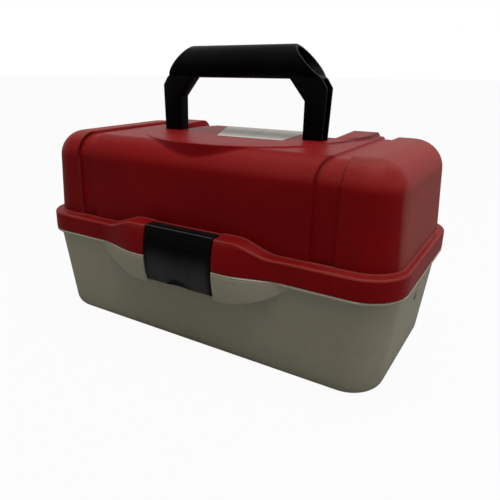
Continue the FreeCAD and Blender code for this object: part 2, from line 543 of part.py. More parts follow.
def lid_outside():
    """Dome, lip, latch shoulder, deck and hinge knuckles, before the lid is hollowed."""
    lip = rounded_prism(LIP_HALF_X, LIP_HALF_Y, LIP_CORNER, LIP_BOTTOM, LIP_TOP)
    lip = lip.makeFillet(LIP_ROUND, edges_at_height(lip, LIP_TOP))
    pocket = box(-POCKET_HALF_X, POCKET_HALF_X, BULGE_FRONT_Y - OVERSHOOT, -LIP_HALF_Y, 0, LID_TOP)
    ledge = box(-POCKET_HALF_X, POCKET_HALF_X, -LIP_HALF_Y, -DOME_HALF_Y - POCKET_RIM, LIP_TOP, LID_TOP)
    shoulder = lid_shoulder(0).cut(pocket).cut(ledge)
    half = 0.5 * HINGE_KNUCKLE_LENGTH
    x0, x1 = HINGE_CENTRE_X - half, HINGE_CENTRE_X + half
    wall_y = LIP_HALF_Y - LID_WALL
    lug = prism_x([(wall_y, LIP_BOTTOM + HINGE_LUG_DROP), (HINGE_AXIS_Y + HINGE_KNUCKLE_RADIUS, HINGE_AXIS_Z),
                   (HINGE_AXIS_Y - HINGE_KNUCKLE_RADIUS, HINGE_AXIS_Z), (wall_y, LIP_BOTTOM)], x0, x1)
    body = fuse_all(grooved_dome(0), [lip, shoulder, build_deck(), both_sides(lug),
                                      both_sides(hinge_knuckle(x0, x1))])
    return body.cut(recess_cut())


def lid_hollow():
    """Space inside the dome, the lip and the latch shoulder, with a flat roof under the recess."""
    roof_x = RECESS_HALF_X + LID_WALL
    roof = box(-roof_x, roof_x, -DOME_HALF_Y, DOME_HALF_Y, RECESS_FLOOR - LID_WALL, LID_TOP)
    lip = rounded_prism(LIP_HALF_X - LID_WALL, LIP_HALF_Y - LID_WALL, LIP_CORNER - LID_WALL,
                        LIP_BOTTOM - OVERSHOOT, LIP_TOP - LID_WALL)
    pocket_x = POCKET_HALF_X + LID_WALL
    pocket = box(-pocket_x, pocket_x, BULGE_FRONT_Y - OVERSHOOT, 0, 0, LID_TOP)
    return fuse_all(grooved_dome(LID_WALL).cut(roof), [lip, lid_shoulder(LID_WALL).cut(pocket)])


def build_lid():
    body = lid_outside().cut(lid_hollow())
    well_wall = well_solid(LID_WALL, RECESS_FLOOR - JOIN, WELL_INNER_X - LID_WALL, WELL_OUTER_X + LID_WALL)
    half_pad = 0.5 * BRACKET_WIDTH + BRACKET_PAD_MARGIN
    pad = box(BRACKET_PAD_X, DOME_TOP_HALF_X + JOIN, LINK_PIVOT[0] - half_pad, LINK_PIVOT[0] + half_pad,
              BRACKET_BEND_Z - BRACKET_PAD_MARGIN, BRACKET_TOP_Z + BRACKET_PAD_MARGIN)
    body = fuse_all(body, [both_sides(well_wall), both_sides(pad)])
    body = body.cut(both_sides(well_solid(0, SHOULDER_TOP + JOIN, WELL_INNER_X, WELL_OUTER_X)))
    body = body.cut(both_sides(rod_x(HANDLE_PIN_RADIUS, WELL_INNER_X - LID_WALL, WELL_OUTER_X + LID_WALL,
                                     HANDLE_Y, HANDLE_PIVOT_Z)))
    pin_x = POCKET_HALF_X + LATCH_PIN_SEAT
    body = body.cut(rod_x(LATCH_PIN_RADIUS, -pin_x, pin_x, LATCH_PIN_Y, LATCH_PIN_Z))
    body = body.cut(rod_x(HINGE_PIN_RADIUS + RUNNING_GAP, -LIP_HALF_X, LIP_HALF_X, HINGE_AXIS_Y,
                          HINGE_AXIS_Z))
    depth = BRACKET_PAD_X + BRACKET_RIVET_DEPTH
    for z in bracket_rivet_heights():
        body = body.cut(rod_x(BRACKET_RIVET_RADIUS, -depth, depth, LINK_PIVOT[0], z))
    return body.removeSplitter()


def bracket_rivet_heights():
    middle = 0.5 * (BRACKET_TOP_Z + BRACKET_BEND_Z + BRACKET_THICK)
    return (middle - 0.5 * BRACKET_RIVET_PITCH, middle + 0.5 * BRACKET_RIVET_PITCH)


# ---------------------------------------------------------------- latch
def build_latch():
    """Convex plate that covers the bulge's pocket, hung on the lid's pin and hooked under the tub's catch."""
    x, axis_y = LATCH_HALF_X, BULGE_FRONT_Y + BULGE_RADIUS
    far_x, middle_radius = x + OVERSHOOT, BULGE_RADIUS - 0.5 * LATCH_THICK
    front = rod_x(BULGE_RADIUS, -x, x, axis_y, BULGE_MID_Z)
    inside = rod_x(BULGE_RADIUS - LATCH_THICK, -far_x, far_x, axis_y, BULGE_MID_Z)
    span = box(-x, x, BULGE_FRONT_Y - OVERSHOOT, -LIP_HALF_Y, LATCH_BOTTOM, LATCH_TOP)
    roof_y = barrel_y(middle_radius, LATCH_TOP)
    roof_back = LATCH_PIN_Y + LATCH_BARREL_RADIUS
    roof = box(-x, x, roof_y, roof_back, LATCH_TOP - LATCH_ROOF_THICK, LATCH_TOP)
    barrel = rod_x(LATCH_BARREL_RADIUS, -x, x, LATCH_PIN_Y, LATCH_PIN_Z)
    half_web = 0.5 * LATCH_WEB_THICK
    web = box(-x, x, roof_y, LATCH_PIN_Y, LATCH_PIN_Z - half_web, LATCH_PIN_Z + half_web)
    hook_bottom = LATCH_HOOK_TOP - LATCH_HOOK_THICK
    hook_back = -TUB_TOP_HALF_Y - CATCH_REACH + LATCH_HOOK_REACH
    hook = box(-LATCH_HOOK_HALF_X, LATCH_HOOK_HALF_X, barrel_y(middle_radius, hook_bottom), hook_back,
               hook_bottom, LATCH_HOOK_TOP)
    body = fuse_all(front.cut(inside).common(span), [roof, barrel, web, hook])
    notch_radius = 0.5 * (NOTCH_HALF_X ** 2 / NOTCH_HEIGHT + NOTCH_HEIGHT)
    notch = Part.makeCylinder(notch_radius, -LIP_HALF_Y - BULGE_FRONT_Y + OVERSHOOT,
                              Vec(0, BULGE_FRONT_Y - OVERSHOOT, LATCH_BOTTOM + NOTCH_HEIGHT - notch_radius),
                              Vec(0, 1, 0))
    bore = rod_x(LATCH_PIN_RADIUS + RUNNING_GAP, -far_x, far_x, LATCH_PIN_Y, LATCH_PIN_Z)
    return body.cut(notch).cut(bore).removeSplitter()


def build_latch_pin():
    pin_x = POCKET_HALF_X + LATCH_PIN_SEAT
    return rod_x(LATCH_PIN_RADIUS, -pin_x, pin_x, LATCH_PIN_Y, LATCH_PIN_Z)


# ---------------------------------------------------------------- handle
def plate_xz(points, y0, y1):
    """Polygon of (x, z) points carried along Y."""
    wire = Part.makePolygon([Vec(x, y0, z) for x, z in points + points[:1]])
    return Part.Face(wire).extrude(Vec(0, y1 - y0, 0))


def chamfer_x(z):
    """Half-width of the plane that cuts the grip's ends and the legs' outer corners, at height z."""
    share = (z - OUTER_CHAMFER_Z) / (GRIP_TOP_Z - OUTER_CHAMFER_Z)
    return HANDLE_LEG_OUTER_X + (GRIP_TOP_HALF_X - HANDLE_LEG_OUTER_X) * share


def build_handle():
    """Two channel legs, open outwards, under a round hollow grip with its ends cut off at a slant."""
    w, half, low = HANDLE_WALL, 0.5 * HANDLE_LEG_DEPTH, HANDLE_PIVOT_Z
    y0, y1 = HANDLE_Y - half, HANDLE_Y + half
    outer, inner = HANDLE_LEG_OUTER_X, HANDLE_LEG_INNER_X
    under = GRIP_AXIS_Z - GRIP_RADIUS + GRIP_SINK
    frame = [(outer, low), (outer, OUTER_CHAMFER_Z), (chamfer_x(GRIP_AXIS_Z), GRIP_AXIS_Z),
             (INNER_CHAMFER_TOP_X, GRIP_AXIS_Z), (INNER_CHAMFER_TOP_X, under), (inner, INNER_CHAMFER_Z),
             (inner, low)]
    leg = plate_xz(frame, y0, y1)
    foot = rod_x(half, inner, outer, HANDLE_Y, low)
    high, far = GRIP_TOP_Z + OVERSHOOT, outer + OVERSHOOT
    beyond = plate_xz([(outer, 0), (outer, OUTER_CHAMFER_Z), (chamfer_x(high), high), (far, high), (far, 0)],
                      HANDLE_Y - 2 * GRIP_RADIUS, HANDLE_Y + 2 * GRIP_RADIUS)
    grip = rod_x(GRIP_RADIUS, -outer, outer, HANDLE_Y, GRIP_AXIS_Z).cut(both_sides(beyond))
    body = fuse_all(grip, [both_sides(leg), both_sides(foot)])
    channel = [(inner + w, low + CHANNEL_START), (inner + w, INNER_CHAMFER_Z + 0.5 * w),
               (INNER_CHAMFER_TOP_X + w, under + w), (INNER_CHAMFER_TOP_X + w, GRIP_AXIS_Z),
               (far, GRIP_AXIS_Z), (far, low + CHANNEL_START)]
    hollow = plate_xz(channel, y0 + w, y1 - w)
    bore = rod_x(GRIP_RADIUS - GRIP_WALL, -far, far, HANDLE_Y, GRIP_AXIS_Z)
    pin_hole = rod_x(HANDLE_PIN_RADIUS + RUNNING_GAP, -far, far, HANDLE_Y, low)
    return body.cut(both_sides(hollow)).cut(bore).cut(pin_hole).removeSplitter()


def build_handle_pin():
    """Right-hand pivot pin, from one side of its well to the other."""
    return rod_x(HANDLE_PIN_RADIUS, WELL_INNER_X - LID_WALL, WELL_OUTER_X + LID_WALL, HANDLE_Y,
                 HANDLE_PIVOT_Z)


# ---------------------------------------------------------------- tray and linkage
def tray_prism(inset, z0, z1):
    half_y = 0.5 * (TRAY_REAR_Y - TRAY_FRONT_Y)
    solid = rounded_prism(TRAY_HALF_X - inset, half_y - inset, TRAY_CORNER - inset, z0, z1)
    solid.translate(Vec(0, 0.5 * (TRAY_REAR_Y + TRAY_FRONT_Y), 0))
    return solid


def divider_places():
    """(x, front y, rear y) of every removable divider, row by row from the front."""
    walls = (TRAY_FRONT_Y + TRAY_WALL,) + TRAY_ROW_WALLS_Y + (TRAY_REAR_Y - TRAY_WALL,)
    half_wall = 0.5 * TRAY_ROW_WALL
    spans = [(walls[0], walls[1] - half_wall), (walls[1] + half_wall, walls[2] - half_wall),
             (walls[2] + half_wall, walls[3])]
    wide, narrow = WIDE_COLUMN_X, NARROW_COLUMN_X
    columns = [(-wide, 0.0, wide), (-narrow, narrow), (-wide, wide)]
    return [(x, y0, y1) for (y0, y1), xs in zip(spans, columns) for x in xs]


def guide_ribs():
    """Pairs of ribs on the row walls that hold each divider's two ends."""
    ribs = []
    offset = 0.5 * DIVIDER_THICK + DIVIDER_GAP
    for x, y0, y1 in divider_places():
        for x0 in (x - offset - GUIDE_RIB, x + offset):
            for rib_y0, rib_y1 in ((y0 - JOIN, y0 + GUIDE_RIB), (y1 - GUIDE_RIB, y1 + JOIN)):
                ribs.append(box(x0, x0 + GUIDE_RIB, rib_y0, rib_y1, TRAY_FLOOR_Z - JOIN, ROW_WALL_TOP_Z))
    return ribs


def build_tray():
    """Open tray with two row walls, guide ribs, and a pivot pad and an ear at each end."""
    body = tray_prism(0, TRAY_BOTTOM_Z, TRAY_TOP_Z)
    body = body.cut(tray_prism(TRAY_WALL, TRAY_FLOOR_Z, TRAY_TOP_Z + OVERSHOOT))
    extras = guide_ribs()
    half_wall = 0.5 * TRAY_ROW_WALL
    wall_x = TRAY_HALF_X - JOIN
    for y in TRAY_ROW_WALLS_Y:
        extras.append(box(-wall_x, wall_x, y - half_wall, y + half_wall, TRAY_FLOOR_Z - JOIN, ROW_WALL_TOP_Z))
    y, z = LINK_PIVOT
    r = 0.5 * ARM_WIDTH
    ear_x = TRAY_HALF_X - TRAY_EAR_THICK
    ear = box(ear_x, TRAY_HALF_X, y - r, y + r, TRAY_TOP_Z - TRAY_EAR_DROP, z)
    ear = ear.fuse(rod_x(r, ear_x, TRAY_HALF_X, y, z))
    pad = rod_x(r, TRAY_HALF_X - TRAY_PAD_THICK, TRAY_HALF_X, *TRAY_PIVOT)
    body = fuse_all(body, extras + [both_sides(ear), both_sides(pad)])
    reach = TRAY_HALF_X + OVERSHOOT
    for place in (TRAY_PIVOT, LINK_PIVOT):
        body = body.cut(rod_x(RIVET_RADIUS, -reach, reach, *place))
    return body.removeSplitter()


def build_divider(x, y0, y1):
    """Thin plate that slides down between two pairs of guide ribs."""
    half = 0.5 * DIVIDER_THICK
    return box(x - half, x + half, y0 + DIVIDER_GAP, y1 - DIVIDER_GAP, TRAY_FLOOR_Z, ROW_WALL_TOP_Z)


def build_arm():
    """Right-hand swing arm: a flat strap with round ends and a running fit on both rivets."""
    r, x0, x1 = 0.5 * ARM_WIDTH, ARM_INNER_X, ARM_OUTER_X
    (ya, za), (yb, zb) = TUB_PIVOT, TRAY_PIVOT
    length = math.hypot(yb - ya, zb - za)
    ny, nz = -(zb - za) / length * r, (yb - ya) / length * r
    strap = prism_x([(ya + ny, za + nz), (yb + ny, zb + nz), (yb - ny, zb - nz), (ya - ny, za - nz)], x0, x1)
    body = fuse_all(strap, [rod_x(r, x0, x1, *TUB_PIVOT), rod_x(r, x0, x1, *TRAY_PIVOT)])
    for place in (TUB_PIVOT, TRAY_PIVOT):
        body = body.cut(rod_x(RIVET_RADIUS + RUNNING_GAP, x0 - OVERSHOOT, x1 + OVERSHOOT, *place))
    return body


def build_spacer():
    """Right-hand washer between the tub's boss and the arm."""
    ring = rod_x(SPACER_RADIUS, BOSS_FACE_X - SPACER_THICK, BOSS_FACE_X, *TUB_PIVOT)
    return ring.cut(rod_x(RIVET_RADIUS, 0, LIP_HALF_X, *TUB_PIVOT))


def rivet(shank0, shank1, place, heads):
    """Shank along X with a head on each (x0, x1, radius)."""
    parts = [rod_x(radius, x0, x1, *place) for x0, x1, radius in heads]
    return fuse_all(rod_x(RIVET_RADIUS, shank0, shank1, *place), parts)


def build_tub_rivet():
    """Right-hand rivet through the tub's end wall, spacer and arm."""
    tail_out = ARM_INNER_X - LINK_SIDE_GAP
    tail_in = tail_out - RIVET_HEAD_THICK
    seat = head_seat_x()
    return rivet(tail_in, seat, TUB_PIVOT, [(seat, seat + OUTER_HEAD_THICK, OUTER_HEAD_RADIUS),
                                            (tail_in, tail_out, RIVET_HEAD_RADIUS)])


def build_tray_rivet():
    """Right-hand rivet fixed in the tray's end wall, on which the arm turns."""
    outer, inner = ARM_OUTER_X + LINK_SIDE_GAP, TRAY_HALF_X - TRAY_PAD_THICK
    return rivet(inner, outer, TRAY_PIVOT, [(outer, outer + RIVET_HEAD_THICK, RIVET_HEAD_RADIUS),
                                            (inner - RIVET_HEAD_THICK, inner, RIVET_HEAD_RADIUS)])


def build_link_pin():
    """Right-hand pin fixed in the tray's ear, which the lid's bracket carries."""
    outer, inner = ARM_OUTER_X + LINK_SIDE_GAP, TRAY_HALF_X - TRAY_EAR_THICK
    return rivet(inner, outer, LINK_PIVOT, [(outer, outer + RIVET_HEAD_THICK, RIVET_HEAD_RADIUS),
                                            (inner - RIVET_HEAD_THICK, inner, RIVET_HEAD_RADIUS)])


def build_bracket():
    """Right-hand bracket riveted inside the lid's end, stepped inwards to hold the tray's rear pin."""
    (y, z), half = LINK_PIVOT, 0.5 * BRACKET_WIDTH
    bend_top = BRACKET_BEND_Z + BRACKET_THICK
    strap = box(ARM_INNER_X, ARM_OUTER_X, y - half, y + half, z, bend_top)
    step = box(ARM_INNER_X, BRACKET_PAD_X, y - half, y + half, BRACKET_BEND_Z, bend_top)
    flange = box(BRACKET_FLANGE_X, BRACKET_PAD_X, y - half, y + half, BRACKET_BEND_Z, BRACKET_TOP_Z)
    body = fuse_all(strap, [step, flange, rod_x(half, ARM_INNER_X, ARM_OUTER_X, y, z)])
    hole = rod_x(RIVET_RADIUS + OPEN_PIVOT_GAP, ARM_INNER_X - OVERSHOOT, ARM_OUTER_X + OVERSHOOT, y, z)
    body = body.cut(hole)
    for rivet_z in bracket_rivet_heights():
        body = body.cut(rod_x(BRACKET_RIVET_RADIUS, BRACKET_FLANGE_X - OVERSHOOT, BRACKET_PAD_X + OVERSHOOT,
                              y, rivet_z))
    return body


def build_bracket_rivets():
    """The two right-hand rivets that hold a bracket to its pad."""
    rivets = []
    y, r = LINK_PIVOT[0], BRACKET_RIVET_RADIUS
    for z in bracket_rivet_heights():
        shank = rod_x(r, BRACKET_FLANGE_X, BRACKET_PAD_X + BRACKET_RIVET_DEPTH, y, z)
        head = rod_x(2 * r, BRACKET_FLANGE_X - BRACKET_RIVET_HEAD_THICK, BRACKET_FLANGE_X, y, z)
        rivets.append(shank.fuse(head).removeSplitter())
    return Part.makeCompound(rivets)


def build_hinge_pin():
    """Right-hand hinge pin, through all three knuckles."""
    half = 0.5 * HINGE_KNUCKLE_LENGTH + HINGE_END_GAP + HINGE_OUTER_LENGTH
    return rod_x(HINGE_PIN_RADIUS, HINGE_CENTRE_X - half, HINGE_CENTRE_X + half, HINGE_AXIS_Y, HINGE_AXIS_Z)


def build_label():
    """Blank paper label stuck on the deck, a little askew, which follows the deck's floor."""
    floor = deck_floor()
    raised = [(y, z + LABEL_THICK) for y, z in reversed(floor)]
    skin = prism_x(floor + raised, -RECESS_HALF_X, RECESS_HALF_X)
    half_x, half_y = 0.5 * LABEL_SIZE_X, 0.5 * LABEL_SIZE_Y
    sheet = box(-half_x, half_x, -half_y, half_y, DECK_ROOT_Z, SHOULDER_TOP)
    sheet.rotate(Vec(0, 0, 0), Vec(0, 0, 1), LABEL_TURN_DEG)
    sheet.translate(Vec(LABEL_CENTRE_X, LABEL_CENTRE_Y, 0))
    return skin.common(sheet)


# ---------------------------------------------------------------- write every piece
def build_all():
    pieces = {
        "base_tub": build_tub(),
        "lid_shell": build_lid(),
        "latch": build_latch(),
        "latch_pin": build_latch_pin(),
        "handle": build_handle(),
        "blank_label": build_label(),
        "tray": build_tray(),
    }
    for number, (x, y0, y1) in enumerate(divider_places(), 1):
        pieces["tray_divider_%d" % number] = build_divider(x, y0, y1)
    paired = {
        "hinge_pin": build_hinge_pin(),
        "handle_pin": build_handle_pin(),
        "swing_arm": build_arm(),
        "arm_spacer": build_spacer(),
        "tub_pivot_rivet": build_tub_rivet(),
        "tray_pivot_rivet": build_tray_rivet(),
        "tray_link_pin": build_link_pin(),
        "lid_bracket": build_bracket(),
        "bracket_rivets": build_bracket_rivets(),
    }
    for name, shape in paired.items():
        pieces[name + "_right"] = shape
        pieces[name + "_left"] = mirrored(shape)
    return pieces


def main():
    os.makedirs("parts", exist_ok=True)
    for name, shape in build_all().items():
        shape.exportStep("parts/%s.step" % name)
        print("%-24s solids %d  valid %s  volume %.0f" % (name, len(shape.Solids), shape.isValid(),
                                                          shape.Volume))


main()
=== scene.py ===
import math

import bmesh
import bpy
import numpy as np
from bpy.props import FloatProperty, FloatVectorProperty, PointerProperty
from bpy.types import Operator, Panel, PropertyGroup
from mathutils import Matrix


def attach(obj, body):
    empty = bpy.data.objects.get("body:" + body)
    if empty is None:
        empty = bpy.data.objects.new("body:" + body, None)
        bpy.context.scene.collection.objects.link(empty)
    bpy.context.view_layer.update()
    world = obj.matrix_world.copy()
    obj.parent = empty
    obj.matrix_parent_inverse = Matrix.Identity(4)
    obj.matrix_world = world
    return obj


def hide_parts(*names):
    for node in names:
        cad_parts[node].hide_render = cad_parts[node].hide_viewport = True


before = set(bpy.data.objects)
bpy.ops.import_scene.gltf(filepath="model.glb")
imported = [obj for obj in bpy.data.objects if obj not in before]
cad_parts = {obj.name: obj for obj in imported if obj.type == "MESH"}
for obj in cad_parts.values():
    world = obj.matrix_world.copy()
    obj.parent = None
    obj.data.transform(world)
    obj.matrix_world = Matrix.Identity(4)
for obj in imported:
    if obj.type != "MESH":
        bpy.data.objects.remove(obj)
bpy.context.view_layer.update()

bl_info = {
    "name": "Tackle Box",
    "version": (1, 0, 0),
    "blender": (4, 5, 0),
    "location": "View3D > Sidebar > Tackle Box",
    "description": "Builds a two-tone portable tackle box with a snap latch and a folding handle",
    "category": "Add Mesh",
}

MM = 0.001

# ---------------------------------------------------------------- sizes of the part (mm)
# tub
TUB_TOP = (161.0, 83.0, 30.0)       # half-length, half-depth, corner radius
TUB_FOOT = (152.9, 73.9, 26.4)
TUB_HEIGHT = 80.0
TUB_WALL = 2.4
BOTTOM_ROUND = 10.0
FLANGE_TOP = 82.0
UPSTAND_TOP = 89.0
UPSTAND_WALL = 2.0
UPSTAND_INSET = 0.6
# lid
LIP = (165.0, 86.0, 31.6)
LIP_BOTTOM = 82.3
LIP_TOP = 98.2
LID_WALL = 2.2
DOME_FOOT_HALF_X = 159.8
DOME_TOP_HALF_X = 155.9
DOME_HALF_Y = 77.0
DOME_CORNER = 26.0
DOME_ROUND = 22.0
LID_TOP = 171.0
WALL_TOP = LID_TOP - DOME_ROUND
FLAT_HALF_Y = DOME_HALF_Y - DOME_ROUND
CENTRE_TOP = 170.2                  # the flat top between the bands, a little lower than the end caps
CENTRE_HALF_X = 110.0
CENTRE_BLEND = 0.2
GROOVE = (105.6, 119.5)
GROOVE_SWING = 5.2                  # how far the inner edge swings inwards down the front
# raised deck
DECK_TOP = 171.2
DECK_RADIUS = 93.4
DECK_FRONT_Y = -72.5
DECK_ARC_Y = DECK_FRONT_Y + DECK_RADIUS
DECK_TIP_X = 77.5
DECK_TIP_Y = DECK_ARC_Y - math.sqrt(DECK_RADIUS ** 2 - DECK_TIP_X ** 2)
DECK_REAR_HALF_X = 100.8
DECK_REAR_Y = 73.0
DECK_FULL_Y = 42.0                  # from here back the deck has its full width
DECK_SIDE_POWER = 1.3
DECK_FRONT_FOOT = 1.3               # run of the wall's foot, in front and at the sides
DECK_SIDE_FOOT = 2.8
PLATEAU_TOP = 173.2
PLATEAU_RAMP = (8.0, 61.0)
PLATEAU_ROUND = 12.5
RECESS_FLOOR = 169.4
RECESS_HALF_X = 79.5
RECESS_SLOPE = (45.0, 51.0)
RECESS_END_Y = 72.0                 # from here back the recess runs out into the rear wall
ROOF_STEPS = ((0.8, (81.0, 84.0)), (4.0, (100.0, 104.0)))   # rises of the lid's inner face and their runs
# handle and its wells
LEG_OUTER_X = 76.6
LEG_INNER_X = 60.5
LEG_HALF_Y = 6.8
HANDLE_Y = 1.0
HANDLE_WALL = 2.4
PIVOT_Z = 166.5
WELL_X = (59.6, 77.5)
WELL_RADIUS = 7.6
WELL_SLOPE = math.radians(5.0)
WELL_FLARE = 7.0                    # how far a well widens inwards at the rear, and where it does
WELL_FLARE_Y = (28.0, 46.0)
WELL_SHIFT = 1.6                    # how far its outer wall moves out behind the pivot, and where it does
WELL_SHIFT_Y = (8.0, 20.0)
WELL_FRONT_Y = -7.2
WELL_BOX_X = (57.0, 79.4)           # the well's walls on the inside of the lid
CHANNEL_START = 2.5
GRIP_RADIUS = 13.05
GRIP_WALL = 2.4
GRIP_Z = 230.0
GRIP_TOP_HALF_X = 48.6
GRIP_LOW_HALF_X = 73.6
PLATE_TOP_HALF_X = 74.0
LEG_SHOULDER_X = 78.2
OUTER_CHAMFER_Z = 210.5
INNER_CHAMFER_Z = 200.6
INNER_CHAMFER_TOP_X = 46.3
ARCH_UNDERSIDE_Z = 218.15
# bulge round the latch
BULGE_RADIUS = 73.6
BULGE_FRONT_Y = -95.3
BULGE_MID_Z = 82.7
BULGE_FLAT_X = 42.0
BULGE_END_X = 88.0
SHOULDER_TOP = 106.5
SHOULDER_FLAT_X = 46.0
SHOULDER_END_X = 79.0
LENS_END_X = 99.0
LENS_BOTTOM = 57.0
LENS_FLAT_X = 33.0
LENS_RADIUS = 91.0
POCKET_X = 32.9
POCKET_RIM = 1.8
# latch
LATCH_HALF_X = 31.9
LATCH_Z = (60.5, 107.3)
LATCH_THICK = 2.6
LATCH_BACK_ROUND = 0.35
LATCH_ROOF = 1.8
LATCH_WEB_HALF = 1.2
LATCH_PIN = (-86.0, 103.2)
LATCH_BARREL = 3.3
HOOK_HALF_X = 25.5
HOOK_TOP = 66.0
HOOK_THICK = 2.4
HOOK_BACK_Y = -85.4
NOTCH_HALF_X = 9.0
NOTCH_HEIGHT = 0.7
SCOOP = (11.0, 7.5, 1.0)            # half-width, height and depth of the thumb scoop
CATCH_Z = (66.4, 69.4)
CATCH_Y = (-88.6, -74.0)
# rear hinges
HINGE = (90.8, 82.3)
KNUCKLE_RADIUS = 4.5
HINGE_X = 110.0
LID_KNUCKLE_HALF = 6.7
TUB_KNUCKLE = (7.0, 14.5)
LUG_DROP = 12.0
# pivots in the tub's end walls
TUB_PIVOT = (4.0, 57.5)
BOSS_RADIUS = 7.0
BOSS_X = (154.2, 157.5)
SEAT_X = 158.04                     # the flat seats of the outer rivets' heads
SEAT_RADIUS = 3.8
# label
LABEL_CORNERS = ((-9.0, -22.7), (50.0, -20.2), (45.5, 44.0), (-39.5, 44.0))
# stations of the meshes: rows and columns where the shapes bend
TUB_ROWS = (14.0, 20.0, 28.0, 36.0, 44.0, 50.0, 53.3, 53.7, 54.1, 55.0, 56.2, 57.5, 58.8, 60.0, 60.9, 61.3,
            61.7, 66.0, 73.0, 80.0)
END_STATIONS = np.array([-45.0, -30.0, -15.0, -3.0, -0.4, 0.0, 0.4, 1.2, 2.6, 4.0, 5.4, 6.8, 7.6, 8.0, 8.4,
                         12.0, 25.0, 35.0, 45.0])
REAR_STATIONS = np.linspace(-125.0, 125.0, 11)
WALL_ROWS = np.linspace(LIP_TOP - 2.0, WALL_TOP, 10)
INNER_ROWS = (TUB_HEIGHT - 0.5, 60.0, 40.0, 25.0)
WELL_STEPS = np.array([-0.3, 0.0, 0.15])
DECK_ROWS = (2.6, 5.5, 7.6, 8.4, 13.0, 20.0, 27.0, 34.0, 40.0, 43.6, 44.7, 45.3, 47.0, 49.0, 50.7, 51.3,
             53.0)
REAR_TURN = np.concatenate([np.linspace(0.0, math.asin(17.2 / DOME_ROUND), 11),
                            np.arcsin(np.array([17.6, 17.85, 18.0, 18.12, 18.35, 18.8]) / DOME_ROUND),
                            np.linspace(math.asin(18.8 / DOME_ROUND), 0.5 * math.pi, 6)[1:]])
# the deck's wall in section: shares of its foot's run and of its height, then mm inside the edge and shares
FOOT_SHARES = np.array([0.0, 0.08, 0.2, 0.36, 0.55, 0.75, 1.0])
FOOT_HEIGHTS = (0.74, 0.62, 0.45, 0.27, 0.12, 0.03, 0.0)
CREST = np.array([0.0, 0.12, 0.28, 0.5, 0.8])
CREST_HEIGHTS = (0.74, 0.86, 0.95, 0.988, 1.0)
DUSTY_TIP = (-84.0, -38.0)          # middle of the dusty patch in front of the deck's left tip
BEYOND = 1e6                        # further than any place of the box
TINY = 1e-3
SMALL_EDGE = 0.4                    # rounding of slabs and turned bars
SHARP_ANGLE = math.radians(32.0)    # edges that bend more stay sharp


# ---------------------------------------------------------------- settings
def length(name, description, default, **limits):
    """A length in metres that is shown in the scene's unit."""
    return FloatProperty(name=name, description=description, default=default, unit="LENGTH", **limits)


def colour(name, description, default):
    """A linear red, green and blue, each from 0 to 1."""
    return FloatVectorProperty(name=name, description=description, default=default, subtype="COLOR",
                               size=3, min=0.0, max=1.0)


class LidSettings(PropertyGroup):
    groove_depth: length("Groove depth", "Depth of the two bands that run over the lid", 0.0026)
    inner_edge: length("Inner edge width", "Width of the step from the middle down to a groove", 0.0020)
    outer_edge: length("Outer edge width", "Width of the crisp step from a groove to an end cap", 0.0007)
    lip_round: length("Lip rounding", "Radius along the upper edge of the lip", 0.0022)
    shoulder_round: length("Shoulder rounding", "Radius along the edge round the latch", 0.0012)
    skin: colour("Plastic", "Colour of the lid's moulded plastic", (0.215, 0.0018, 0.0028))
    # colour of the dusty film, which also serves as painted sheen on the lid's ends and shoulder
    dust: colour("Dust", "Colour of the pale film on the lid's ends", (0.31, 0.098, 0.078))


class TubSettings(PropertyGroup):
    lens_round: length("Lens edge rounding", "Radius along the lower edge of the lens", 0.0008)
    skin: colour("Plastic", "Colour of the tub's moulded plastic", (0.335, 0.312, 0.230))
    # colour of the soiling, which also serves as painted shade on the tub's wall outside the lens
    soil_and_shade: colour("Soil", "Colour of the darker film near edges", (0.205, 0.188, 0.135))


class LatchSettings(PropertyGroup):
    edge_round: length("Edge rounding", "Radius along the latch's edges", 0.0009)
    skin: colour("Plastic", "Colour of the latch's plastic", (0.0012, 0.0013, 0.0014))


class HandleSettings(PropertyGroup):
    edge_round: length("Edge rounding", "Bevel along the handle's edges", 0.0006)
    skin: colour("Plastic", "Colour of the handle's plastic", (0.0008, 0.0008, 0.0009))


class LabelSettings(PropertyGroup):
    thickness: length("Thickness", "Thickness of the label", 0.00025)
    paper: colour("Paper", "Colour of the paper", (0.415, 0.388, 0.350))
    ink: colour("Rules", "Colour of the faint printed rules", (0.24, 0.225, 0.215))


class FittingSettings(PropertyGroup):
    steel: colour("Steel", "Colour of the plated steel parts", (0.56, 0.55, 0.52))
    tray: colour("Tray", "Colour of the tray's plastic", (0.17, 0.175, 0.18))
    divider: colour("Dividers", "Colour of the dividers' plastic", (0.25, 0.255, 0.26))
    nylon: colour("Nylon", "Colour of the spacers", (0.6, 0.58, 0.5))


class StageSettings(PropertyGroup):
    floor: colour("Floor", "Colour of the floor", (0.42, 0.42, 0.42))
    floor_size: length("Floor size", "Side of the square floor", 24.0)
    key_power: FloatProperty(name="Key power", description="Power of the large overhead softbox in watts",
                             default=21.0, min=0.0, unit="POWER")
    side_power: FloatProperty(name="Side power", description="Power of the softbox at the right in watts",
                              default=3.5, min=0.0, unit="POWER")
    world: FloatProperty(name="Room light", description="Strength of the even light from all round",
                         default=0.24, min=0.0)


# ---------------------------------------------------------------- mesh helpers
def grid_faces(rows, columns, wrap):
    """Quads between neighbouring points of a grid; wrap joins the last column to the first."""
    index = np.arange(rows * columns).reshape(rows, columns)
    if wrap:
        index = np.hstack([index, index[:, :1]])
    corners = [index[:-1, :-1], index[:-1, 1:], index[1:, 1:], index[1:, :-1]]
    return np.stack(corners, -1).reshape(-1, 4).tolist()


def surface(x, y, z, wrap=False, caps=()):
    """A grid surface from three arrays; caps names the rows (0 or -1) that one flat face closes."""
    x, y, z = np.broadcast_arrays(x, y, z)
    rows, columns = x.shape
    faces = grid_faces(rows, columns, wrap)
    index = np.arange(rows * columns).reshape(rows, columns)
    faces += [index[row].tolist() for row in caps]
    return np.stack([x, y, z], -1).reshape(-1, 3), faces


